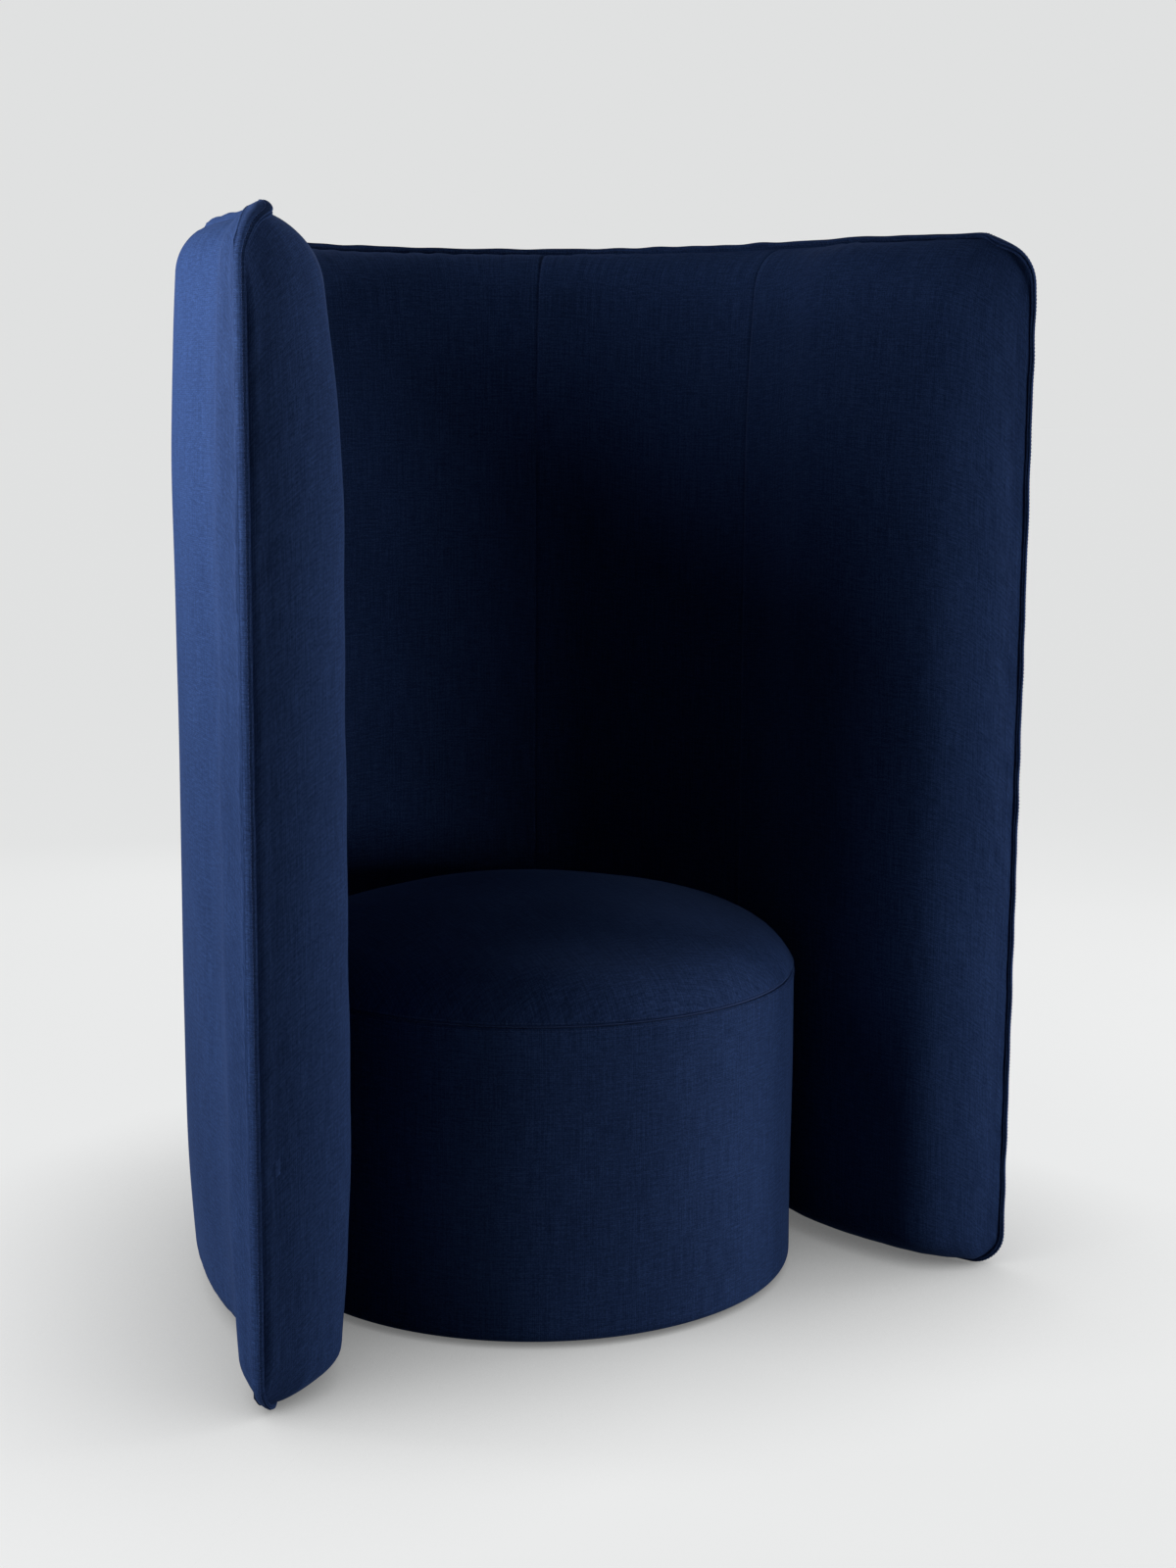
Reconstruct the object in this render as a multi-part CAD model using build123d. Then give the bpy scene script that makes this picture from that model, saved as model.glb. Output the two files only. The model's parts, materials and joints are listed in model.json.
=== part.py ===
from build123d import *
import math
import os

# A high back lounge chair: a padded U-shaped screen with flared wings stands round a drum-shaped seat.
# Millimetres. +Z is up, the front faces -Y, and left and right are as seen from the front.
# The origin is on the floor under the middle of the chair.

# Screen seen from above: the line of its edge seam, from the middle of the back to a wing tip
BACK_RADIUS = 370.0
BACK_TURN = 57.0
SIDE_RADIUS = 755.0
SIDE_TURN = 30.0
FLARE_RADIUS = 487.0
FLARE_TURN = 25.0
NOSE_RUN = 75.0

# Screen seen from the side
SCREEN_HEIGHT = 1350.0
FLANGE_FLOOR_GAP = 2.0
TOP_CORNER = 60.0
BOTTOM_CORNER = 35.0

# Padding of the screen, measured from the seam line
INNER_DEPTH = 93.0
OUTER_DEPTH = 45.0
INNER_SHOULDER = 55.0
OUTER_SHOULDER = 42.0
SHOULDER_SHARE = 0.8
EASE_HEIGHT = 260.0
NOSE_DEPTH = 7.0
NOSE_STEPS = (0.42, 0.16, 0.05, 0.0)
INNER_BACK_SEAM_AT = 240.0
WING_SEAM_LEAD = 84.0
OUTER_SEAM_AT = 420.0
SEAM_DRAW = 3.0
SEAM_REACH = 28.0
STATION_STEP = 70.0
DEPTH_BLEND = 10.0

# Cloth and the raised seam allowance round the screen
COVER_THICKNESS = 1.2
FLANGE_PROUD = 11.0
FLANGE_ROOT = 16.0
FLANGE_THICKNESS = 5.0
FLANGE_GAP = 1.0

# Wooden frame inside the screen
RAIL_WIDTH = 36.0
RAIL_THICKNESS = 18.0
SKIN_THICKNESS = 3.0
POST_WIDTH = 45.0
EDGE_FOAM = 24.0
NOGGING_Z = 660.0

# Seat drum
SEAT_RADIUS = 345.0
SEAT_RIM_Z = 402.0
SEAT_CROWN = 72.0
SEAT_SHOULDER_WIDTH = 48.0
SEAT_SHOULDER_HEIGHT = 53.0
SEAT_BACK_GAP = 25.0
SEAT_SIDE_GAP = 4.0
SEAT_BASE_Z = 8.0
SEAT_BOTTOM_CORNER = 12.0
SEAT_DECK_Z = 330.0
SEAT_SIDE_FOAM = 17.0
SEAT_WALL = 3.0
SEAT_BOARD = 18.0
SEAT_RING_WIDTH = 88.0
SEAT_POST_DEPTH = 45.0
SEAT_POST_WIDTH = 60.0
SEAT_FRONT_POST_ANGLES = (215.0, 270.0, 325.0)
SEAT_HEM = 45.0
RIM_SEAM_WIDTH = 1.6
RIM_SEAM_DEPTH = 2.0
DUST_COVER = 1.0

# Elastic webbing under the seat foam
STRAP_WIDTH = 60.0
STRAP_THICKNESS = 2.0
STRAP_SPACING = 120.0
STRAP_COUNT = 3
STRAP_EDGE = 22.0

# Bolts that hold the seat to the screen, with sleeves through the padding
BOLT_RADIUS = 4.0
BOLT_HEAD_RADIUS = 6.5
BOLT_HEAD_HEIGHT = 8.0
BOLT_HEIGHTS = (120.0, 240.0)
SLEEVE_RADIUS = 10.0
SLEEVE_ROOM = 0.5

# Threaded inserts, for the bolts and for the levelling feet
INSERT_RADIUS = 5.5
INSERT_LENGTH = 11.0
INSERT_FLANGE_RADIUS = 10.0
INSERT_FLANGE = 1.5
INSERT_TAIL = 1.0
THREAD_CLEARANCE = 0.05

# Levelling feet under the screen and fixed glides under the seat
FOOT_RADIUS = 15.0
FOOT_HEIGHT = 6.0
FOOT_NECK_FLATS = 14.0
FOOT_ROOM = 2.0
STUD_LENGTH = 42.0
GLIDE_RADIUS = 14.0
GLIDE_CIRCLE = 230.0
GLIDE_COUNT = 4
EDGE_BREAK = 1.5

# Countersunk wood screws
SCREW_RADIUS = 3.0
SCREW_LENGTH = 60.0
SCREW_HEAD_RADIUS = 5.6
SCREW_HEAD_HEIGHT = 3.2

# Clearances
FIT = 0.3
HOLE_CLEARANCE = 0.1
CUT_MARGIN = 5.0

# The seam line is three arcs and a straight nose: each leg has a length and a bend
LEGS = (
    (BACK_RADIUS * math.radians(BACK_TURN), 1 / BACK_RADIUS),
    (SIDE_RADIUS * math.radians(SIDE_TURN), 1 / SIDE_RADIUS),
    (FLARE_RADIUS * math.radians(FLARE_TURN), -1 / FLARE_RADIUS),
    (NOSE_RUN, 0.0),
)
BACK_END = LEGS[0][0]
SIDE_END = BACK_END + LEGS[1][0]
NOSE_START = SIDE_END + LEGS[2][0]
TIP = NOSE_START + NOSE_RUN


def walk(run):
    """Follows the seam line from the back's middle: sideways travel, forward travel and heading in radians."""
    left = abs(run)
    across, forward, heading = 0.0, 0.0, 0.0
    for length, bend in LEGS:
        step = left if bend == 0 else min(left, length)
        if bend == 0:
            across += step * math.cos(heading)
            forward += step * math.sin(heading)
        else:
            turned = heading + step * bend
            across += (math.sin(turned) - math.sin(heading)) / bend
            forward -= (math.cos(turned) - math.cos(heading)) / bend
            heading = turned
        left -= step
    side = math.copysign(1, run)
    return side * across, forward, side * heading


# Places worked out from the sizes above
TIP_FORWARD, TIP_HEADING = walk(TIP)[1:]
NOSE_BULGE = math.hypot(
    (NOSE_RUN - FLANGE_PROUD) * math.sin(TIP_HEADING), (INNER_DEPTH - NOSE_DEPTH) * math.cos(TIP_HEADING)
)
NOSE_OVERHANG = NOSE_BULGE + NOSE_DEPTH * math.cos(TIP_HEADING) - NOSE_RUN * math.sin(TIP_HEADING)
BACK_SEAM_Y = (TIP_FORWARD + max(0.0, NOSE_OVERHANG) - OUTER_DEPTH) / 2
SEAT_Y = BACK_SEAM_Y - INNER_DEPTH - SEAT_BACK_GAP - SEAT_RADIUS
PANEL_LOW = FLANGE_FLOOR_GAP + FLANGE_PROUD
PANEL_HIGH = SCREEN_HEIGHT - FLANGE_PROUD
PANEL_SIDE = FLANGE_THICKNESS / 2 + FLANGE_GAP
PAD_INSET = COVER_THICKNESS + FIT
FRAME_HALF = RAIL_WIDTH / 2
SKIN_SIDE = FRAME_HALF + SKIN_THICKNESS
FRAME_LOW = PANEL_LOW + FLANGE_ROOT
EDGE_FOAM_HIGH = PANEL_HIGH - FLANGE_ROOT
FRAME_HIGH = EDGE_FOAM_HIGH - EDGE_FOAM
FRAME_END = TIP - FLANGE_PROUD - BOTTOM_CORNER
FRONT_POST_AT = FRAME_END - POST_WIDTH / 2

SEAT_FOAM_RADIUS = SEAT_RADIUS - PAD_INSET
SEAT_WALL_RADIUS = SEAT_FOAM_RADIUS - SEAT_SIDE_FOAM - FIT
SEAT_FRAME_RADIUS = SEAT_WALL_RADIUS - SEAT_WALL - FIT
SEAT_POST_FACE = math.sqrt(SEAT_FRAME_RADIUS ** 2 - (SEAT_POST_WIDTH / 2) ** 2)
SEAT_POST_BACK = SEAT_POST_FACE - SEAT_POST_DEPTH
SEAT_FOAM_Z = SEAT_DECK_Z + 2 * STRAP_THICKNESS
SEAT_HEM_Z = SEAT_BASE_Z - FIT - COVER_THICKNESS


def seam_point(run, inward):
    """A point beside the seam line, moved inwards from it."""
    across, forward, heading = walk(run)
    return across - inward * math.sin(heading), BACK_SEAM_Y - forward - inward * math.cos(heading)


def seam_edges(start, end, inward):
    """Lines and arcs beside the seam line, split where its legs meet."""
    joints = sorted(side * joint for joint in (BACK_END, SIDE_END, NOSE_START) for side in (-1, 1))
    stops = [start] + [joint for joint in joints if start < joint < end] + [end]
    edges = []
    for first, last in zip(stops, stops[1:]):
        middle = (first + last) / 2
        ends = seam_point(first, inward), seam_point(last, inward)
        if abs(middle) > NOSE_START:
            edges.append(Line(*ends))
        else:
            edges.append(ThreePointArc(ends[0], seam_point(middle, inward), ends[1]))
    return edges


def band(near, far, start, end, low, high):
    """An upright band that follows the seam line between two inward offsets."""
    ends = [Line(seam_point(run, near), seam_point(run, far)) for run in (start, end)]
    outline = make_face(seam_edges(start, end, near) + seam_edges(start, end, far) + ends)
    return Pos(0, 0, low) * extrude(outline, high - low, dir=(0, 0, 1))


def section_plane(run, facing):
    """An upright plane across the seam line: x leads away from the seam, inwards or outwards, and y is up."""
    x, y = seam_point(run, 0)
    heading = walk(run)[2]
    across = (-facing * math.sin(heading), -facing * math.cos(heading), 0)
    return Plane(origin=(x, y, 0), x_dir=across, z_dir=(across[1], -across[0], 0))


# Where the seat's axis lies square to the side of the screen
side_centre_x, side_centre_y = seam_point(BACK_END, SIDE_RADIUS)
FLANK_HEADING = math.atan2(-side_centre_x, SEAT_Y - side_centre_y)
FLANK_AT = BACK_END + SIDE_RADIUS * (FLANK_HEADING - math.radians(BACK_TURN))
FLANK_REACH = SIDE_RADIUS - math.hypot(side_centre_x, SEAT_Y - side_centre_y)
INNER_WING_SEAM_AT = FLANK_AT + WING_SEAM_LEAD
BACK_REACH = BACK_SEAM_Y - SEAT_Y


def room_beside_seat(run):
    """How deep the inner padding may be before it meets the seat."""
    x, y = seam_point(run, 0)
    heading = walk(run)[2]
    aim = x * math.sin(heading) + (y - SEAT_Y) * math.cos(heading)
    clear_radius = SEAT_RADIUS + SEAT_SIDE_GAP
    spread = aim ** 2 - x ** 2 - (y - SEAT_Y) ** 2 + clear_radius ** 2
    room = aim - math.sqrt(spread) if spread > 0 else aim
    return min(room, 2 * INNER_DEPTH)


def inner_depth(run):
    """Depth of the inner padding: full, or what the seat leaves, with a smooth change between them."""
    room = room_beside_seat(run)
    return (INNER_DEPTH + room - math.hypot(INNER_DEPTH - room, DEPTH_BLEND)) / 2


def corner_drop(radius, run):
    """How far a rounded corner lies below the edge, a run behind its front."""
    return radius - math.sqrt(radius ** 2 - (radius - run) ** 2) if run < radius else 0.0


def panel_limits(run, facing, inset, seams):
    """Depth, bottom and top of a padded panel at one place along the seam line."""
    full = inner_depth(run) if facing > 0 else OUTER_DEPTH
    near_seam = min(abs(abs(run) - seam) for seam in seams)
    full -= SEAM_DRAW * max(0.0, 1 - near_seam / SEAM_REACH)
    behind = max(0.0, TIP - abs(run) - FLANGE_PROUD)
    share = 1 - min(1.0, behind / (NOSE_RUN - FLANGE_PROUD))
    depth = NOSE_DEPTH + (full - NOSE_DEPTH) * math.sqrt(1 - share ** 2)
    low = PANEL_LOW + corner_drop(BOTTOM_CORNER, behind)
    high = PANEL_HIGH - corner_drop(TOP_CORNER, behind)
    return depth - inset, low + inset, high - inset


def panel_line(depth, low, high, shoulder):
    """The side of a padded panel from top to bottom: shoulder, ease, flat, ease and shoulder."""
    turn = SHOULDER_SHARE * depth
    upper = Line((depth, high - shoulder - EASE_HEIGHT), (depth, low + shoulder + EASE_HEIGHT))
    top_ease = TangentArc(upper @ 0, (turn, high - shoulder), tangent=(0, 1))
    top_shoulder = TangentArc(top_ease @ 1, (PANEL_SIDE, high), tangent=top_ease % 1)
    low_ease = TangentArc(upper @ 1, (turn, low + shoulder), tangent=(0, -1))
    low_shoulder = TangentArc(low_ease @ 1, (PANEL_SIDE, low), tangent=low_ease % 1)
    return [top_shoulder, top_ease, upper, low_ease, low_shoulder]


def panel_stations(start, end):
    """Section places from one seam to the next seam, or round the nose where the panel ends there."""
    at_nose = end == TIP
    first = start + SEAM_REACH
    last = NOSE_START if at_nose else end - SEAM_REACH
    count = math.ceil((last - first) / STATION_STEP)
    places = [start] + [first + (last - first) * step / count for step in range(count + 1)]
    front = TIP - FLANGE_PROUD
    return places + ([front - step * (front - NOSE_START) for step in NOSE_STEPS] if at_nose else [end])


def panel_sections(start, end, facing, seams, make_section):
    """Faces across one panel, from its back end forwards."""
    shoulder = INNER_SHOULDER if facing > 0 else OUTER_SHOULDER
    mirrored = end < 0
    runs = panel_stations(-end, -start) if mirrored else panel_stations(start, end)
    faces = []
    for run in runs:
        place = -run if mirrored else run
        faces.append(section_plane(place, facing) * make_section(place, facing, seams, shoulder))
    return faces


def core_section(place, facing, seams, shoulder):
    """The padding with all inside it, one cloth thickness under the surface."""
    depth, low, high = panel_limits(place, facing, PAD_INSET, seams)
    return make_face(panel_line(depth, low, high, shoulder) + [Line((PANEL_SIDE, high), (PANEL_SIDE, low))])


def cover_section(place, facing, seams, shoulder):
    """The cloth alone."""
    depth, low, high = panel_limits(place, facing, 0.0, seams)
    outside = panel_line(depth, low, high, shoulder)
    inner_low, inner_high = low + COVER_THICKNESS, high - COVER_THICKNESS
    inside = panel_line(depth - COVER_THICKNESS, inner_low, inner_high, shoulder)
    low_hem = Line((PANEL_SIDE, low), (PANEL_SIDE, inner_low))
    high_hem = Line((PANEL_SIDE, high), (PANEL_SIDE, inner_high))
    return make_face(outside + inside + [low_hem, high_hem])


def make_pad(start, end, facing, seams):
    """A foam pad: the padding beyond the wooden skin."""
    core = loft(panel_sections(start, end, facing, seams, core_section))
    reach = facing * (SKIN_SIDE + FIT)
    stop = TIP + CUT_MARGIN
    first, last = max(start - CUT_MARGIN, -stop), min(end + CUT_MARGIN, stop)
    return core - band(0, reach, first, last, 0, SCREEN_HEIGHT)


def make_cover(start, end, facing, seams):
    """A cloth panel from one seam to the next."""
    return loft(panel_sections(start, end, facing, seams, cover_section))


def make_flange():
    """The raised seam allowance round the whole edge of the screen."""
    half = FLANGE_THICKNESS / 2
    inside = FLANGE_PROUD + FLANGE_ROOT
    runs = (
        band(-half, half, -NOSE_START, NOSE_START, FLANGE_FLOOR_GAP, FLANGE_FLOOR_GAP + inside)
        + band(-half, half, -NOSE_START, NOSE_START, SCREEN_HEIGHT - inside, SCREEN_HEIGHT)
    )
    for side in (-1, 1):
        runs += make_flange_nose(side, half, inside)
    return runs - leveller_holes(FOOT_RADIUS + FOOT_ROOM)


def make_flange_nose(side, half, inside):
    """The flange down one front edge, with its rounded corners."""
    x, y = seam_point(side * NOSE_START, 0)
    heading = walk(side * NOSE_START)[2]
    forward = (side * math.cos(heading), -side * math.sin(heading), 0)
    plane = Plane(origin=(x, y, 0), x_dir=forward, z_dir=(forward[1], -forward[0], 0))
    outer = nose_outline(NOSE_RUN, FLANGE_FLOOR_GAP, SCREEN_HEIGHT, FLANGE_PROUD)
    inner = nose_outline(
        NOSE_RUN - inside, FLANGE_FLOOR_GAP + inside, SCREEN_HEIGHT - inside, -FLANGE_ROOT
    )
    return extrude(plane * (outer - inner), half, both=True)


def nose_outline(front, low, high, growth):
    """A wing's front edge seen from the side, with the corners grown or shrunk."""
    top, bottom = TOP_CORNER + growth, BOTTOM_CORNER + growth
    return make_face([
        Line((0, low), (0, high)),
        Line((0, high), (front - top, high)),
        RadiusArc((front - top, high), (front, high - top), top),
        Line((front, high - top), (front, low + bottom)),
        RadiusArc((front, low + bottom), (front - bottom, low), bottom),
        Line((front - bottom, low), (0, low)),
    ])


# Posts stand along the screen, and the levelling feet lie between them
SIDE_POST_AT = (FLANK_AT + FRONT_POST_AT) / 2
POST_PLACES = {"rear": FLANK_AT / 2, "flank": FLANK_AT, "side": SIDE_POST_AT, "front": FRONT_POST_AT}
LEVELLER_PLACES = {"rear": FLANK_AT / 4, "front": (SIDE_POST_AT + FRONT_POST_AT) / 2}
SIDES = {"left": -1, "right": 1}


def leveller_runs():
    """The places of the levelling feet along the seam line."""
    return [side * place for place in LEVELLER_PLACES.values() for side in SIDES.values()]


def leveller_holes(radius):
    """Upright holes under the bottom rail at the levelling feet."""
    return [
        Pos(*seam_point(run, 0), 0) * Cylinder(radius, FRAME_LOW, align=(Align.CENTER, Align.CENTER, Align.MIN))
        for run in leveller_runs()
    ]


def upright(radius, low, high):
    """A cylinder along Z."""
    return Pos(0, 0, low) * Cylinder(radius, high - low, align=(Align.CENTER, Align.CENTER, Align.MIN))


def make_screw(clearance=0.0):
    """A countersunk wood screw, head up at the origin; a clearance makes its hole."""
    head = SCREW_HEAD_RADIUS + clearance
    shank = SCREW_RADIUS + clearance
    tip = -SCREW_LENGTH - clearance
    profile = make_face(Polyline(
        (0, 0), (head, 0), (shank, -SCREW_HEAD_HEIGHT), (shank, tip + SCREW_RADIUS), (0, tip), close=True
    ))
    return revolve(Plane.XZ * profile, Axis.Z)


def screws_at(points, low, high, clearance=0.0):
    """Screws down into the top of each post and up into its bottom."""
    screw = make_screw(clearance)
    placed = []
    for x, y in points:
        placed.append(Pos(x, y, high) * screw)
        placed.append(Pos(x, y, low) * Rot(180, 0, 0) * screw)
    return placed


def radial(angle, near, far, radius, z):
    """A cylinder that leads out from the seat's axis at an angle from +X."""
    aim = Vector(math.cos(math.radians(angle)), math.sin(math.radians(angle)), 0)
    plane = Plane(origin=Vector(0, SEAT_Y, z) + aim * near, z_dir=aim)
    return plane * upright(radius, 0, far - near)


# Each line of bolts has an angle round the seat and the distance to the seam line there
FLANK_ANGLE = 90 - math.degrees(FLANK_HEADING)
BOLT_LINES = {
    "back": (90.0, BACK_REACH),
    "left": (180 - FLANK_ANGLE, FLANK_REACH),
    "right": (FLANK_ANGLE, FLANK_REACH),
}


def bolt_holes(names, radius, near=0.0, past=FRAME_HALF):
    """Holes along the named lines of bolts, from a distance off the seat's axis to past the seam line."""
    return [
        radial(BOLT_LINES[name][0], near, BOLT_LINES[name][1] + past, radius, z)
        for name in names for z in BOLT_HEIGHTS
    ]


def insert_body(length, clearance=0.0):
    """A flanged threaded insert along +Z, with its flange at the end."""
    barrel = upright(INSERT_RADIUS + clearance, 0, length)
    return barrel + upright(INSERT_FLANGE_RADIUS + clearance, length - INSERT_FLANGE, length)


def insert_bore():
    """The threaded bore, at its thread's outer diameter."""
    return upright(BOLT_RADIUS + THREAD_CLEARANCE, 0, INSERT_LENGTH)


def bolt_insert_planes():
    """Planes at the inner ends of the bolts' inserts, looking outwards."""
    planes = []
    for angle, reach in BOLT_LINES.values():
        aim = Vector(math.cos(math.radians(angle)), math.sin(math.radians(angle)), 0)
        start = reach + FRAME_HALF - INSERT_LENGTH - FIT
        planes += [Plane(origin=Vector(0, SEAT_Y, z) + aim * start, z_dir=aim) for z in BOLT_HEIGHTS]
    return planes


def leveller_insert_planes():
    """Planes at the upper ends of the levelling feet's inserts, looking down."""
    top = FRAME_LOW - INSERT_FLANGE + INSERT_LENGTH
    return [Plane(origin=(*seam_point(run, 0), top), z_dir=(0, 0, -1)) for run in leveller_runs()]


def make_leveller(run):
    """A levelling foot screwed right in: base, six-sided neck and threaded stud."""
    neck_top = FRAME_LOW - INSERT_FLANGE - FIT
    base = chamfer(upright(FOOT_RADIUS, 0, FOOT_HEIGHT).edges(), EDGE_BREAK)
    neck = extrude(RegularPolygon(FOOT_NECK_FLATS / 2, 6, major_radius=False), neck_top)
    stud = upright(BOLT_RADIUS, 0, neck_top + STUD_LENGTH)
    return Pos(*seam_point(run, 0), 0) * (base + neck + stud)


def make_post(run):
    """One upright post between the screen's rails."""
    half = POST_WIDTH / 2
    return band(
        -FRAME_HALF, FRAME_HALF, run - half, run + half, FRAME_LOW + RAIL_THICKNESS, FRAME_HIGH - RAIL_THICKNESS
    )


def screen_frame():
    """Rails, posts, noggings and skins of the screen, with their screws and inserts."""
    places = {"post_back": 0.0}
    for name, place in POST_PLACES.items():
        for side_name, side in SIDES.items():
            places[f"post_{name}_{side_name}"] = side * place
    points = [seam_point(run, 0) for run in places.values()]
    screw_holes = screws_at(points, FRAME_LOW, FRAME_HIGH, HOLE_CLEARANCE)
    bolt_seats = bolt_holes(BOLT_LINES, BOLT_RADIUS + FIT)
    bolt_seats += [plane * insert_body(INSERT_LENGTH, HOLE_CLEARANCE) for plane in bolt_insert_planes()]
    foot_seats = [
        Pos(*seam_point(run, 0), 0) * upright(INSERT_RADIUS + HOLE_CLEARANCE, 0, FRAME_LOW + RAIL_THICKNESS)
        for run in leveller_runs()
    ]
    nodes = {name: make_post(run) - screw_holes - bolt_seats for name, run in places.items()}
    rail = (-FRAME_HALF, FRAME_HALF, -FRAME_END, FRAME_END)
    nodes["screen_bottom_rail"] = band(*rail, FRAME_LOW, FRAME_LOW + RAIL_THICKNESS) - screw_holes - foot_seats
    nodes["screen_top_rail"] = band(*rail, FRAME_HIGH - RAIL_THICKNESS, FRAME_HIGH) - screw_holes
    runs = sorted(places.values())
    nodes["screen_mid_noggings"] = Compound(children=[
        band(
            -FRAME_HALF, FRAME_HALF, first + POST_WIDTH / 2, last - POST_WIDTH / 2,
            NOGGING_Z, NOGGING_Z + RAIL_THICKNESS,
        )
        for first, last in zip(runs, runs[1:])
    ])
    skin = (-FRAME_END, FRAME_END, FRAME_LOW, FRAME_HIGH)
    nodes["screen_inner_skin"] = band(FRAME_HALF, SKIN_SIDE, *skin) - bolt_holes(BOLT_LINES, BOLT_RADIUS + FIT)
    nodes["screen_outer_skin"] = band(-SKIN_SIDE, -FRAME_HALF, *skin)
    nodes["frame_screws"] = Compound(children=screws_at(points, FRAME_LOW, FRAME_HIGH))
    return nodes


def screen_padding():
    """Foam pads, edge foam, cloth panels and the flange of the screen."""
    inner_seams = (INNER_BACK_SEAM_AT, INNER_WING_SEAM_AT)
    outer_seams = (OUTER_SEAM_AT,)
    panels = {
        "inner_{}_back": (-INNER_BACK_SEAM_AT, INNER_BACK_SEAM_AT, 1, inner_seams),
        "inner_{}_corner_right": (INNER_BACK_SEAM_AT, INNER_WING_SEAM_AT, 1, inner_seams),
        "inner_{}_corner_left": (-INNER_WING_SEAM_AT, -INNER_BACK_SEAM_AT, 1, inner_seams),
        "inner_{}_wing_right": (INNER_WING_SEAM_AT, TIP, 1, inner_seams),
        "inner_{}_wing_left": (-TIP, -INNER_WING_SEAM_AT, 1, inner_seams),
        "outer_{}_back": (-OUTER_SEAM_AT, OUTER_SEAM_AT, -1, outer_seams),
        "outer_{}_right": (OUTER_SEAM_AT, TIP, -1, outer_seams),
        "outer_{}_left": (-TIP, -OUTER_SEAM_AT, -1, outer_seams),
    }
    sleeve_holes = bolt_holes(BOLT_LINES, SLEEVE_RADIUS + SLEEVE_ROOM, near=SEAT_WALL_RADIUS, past=0.0)
    foot_holes = leveller_holes(FOOT_RADIUS + FOOT_ROOM)
    nodes = {}
    for name, panel in panels.items():
        nodes[name.format("pad")] = make_pad(*panel) - sleeve_holes - foot_holes
        nodes[name.format("cover")] = make_cover(*panel) - sleeve_holes - foot_holes
    nodes["edge_foam_top"] = band(-SKIN_SIDE, SKIN_SIDE, -NOSE_START, NOSE_START, FRAME_HIGH, EDGE_FOAM_HIGH)
    front = FRAME_END, TIP - FLANGE_PROUD - FLANGE_ROOT
    limits = PANEL_LOW + BOTTOM_CORNER + OUTER_SHOULDER, PANEL_HIGH - TOP_CORNER - OUTER_SHOULDER
    nodes["edge_foam_front_right"] = band(-SKIN_SIDE, SKIN_SIDE, *front, *limits)
    nodes["edge_foam_front_left"] = band(-SKIN_SIDE, SKIN_SIDE, -front[1], -front[0], *limits)
    nodes["edge_flange"] = make_flange()
    return nodes


def levelling_feet():
    """Four levelling feet and the threaded inserts that hold them."""
    nodes = {}
    for name, place in LEVELLER_PLACES.items():
        for side_name, side in SIDES.items():
            nodes[f"leveller_{name}_{side_name}"] = make_leveller(side * place)
    nodes["leveller_inserts"] = Compound(children=[
        plane * (insert_body(INSERT_LENGTH) - insert_bore()) for plane in leveller_insert_planes()
    ])
    return nodes


def crown_line(radius, rim, top):
    """The seat's crowned top from its middle out to the rim."""
    crown = TangentArc((0, top), (radius - SEAT_SHOULDER_WIDTH, rim + SEAT_SHOULDER_HEIGHT), tangent=(1, 0))
    return [crown, TangentArc(crown @ 1, (radius, rim), tangent=crown % 1)]


def turn_seat(edges):
    """A solid turned round the seat's axis from a closed outline of radius and height."""
    return Pos(0, SEAT_Y, 0) * revolve(Plane.XZ * make_face(edges), Axis.Z)


def seat_ring(inside, outside, low, high):
    """A plain ring round the seat's axis."""
    ring = upright(outside, low, high)
    if inside > 0:
        ring -= upright(inside, low, high)
    return Pos(0, SEAT_Y, 0) * ring


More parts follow.
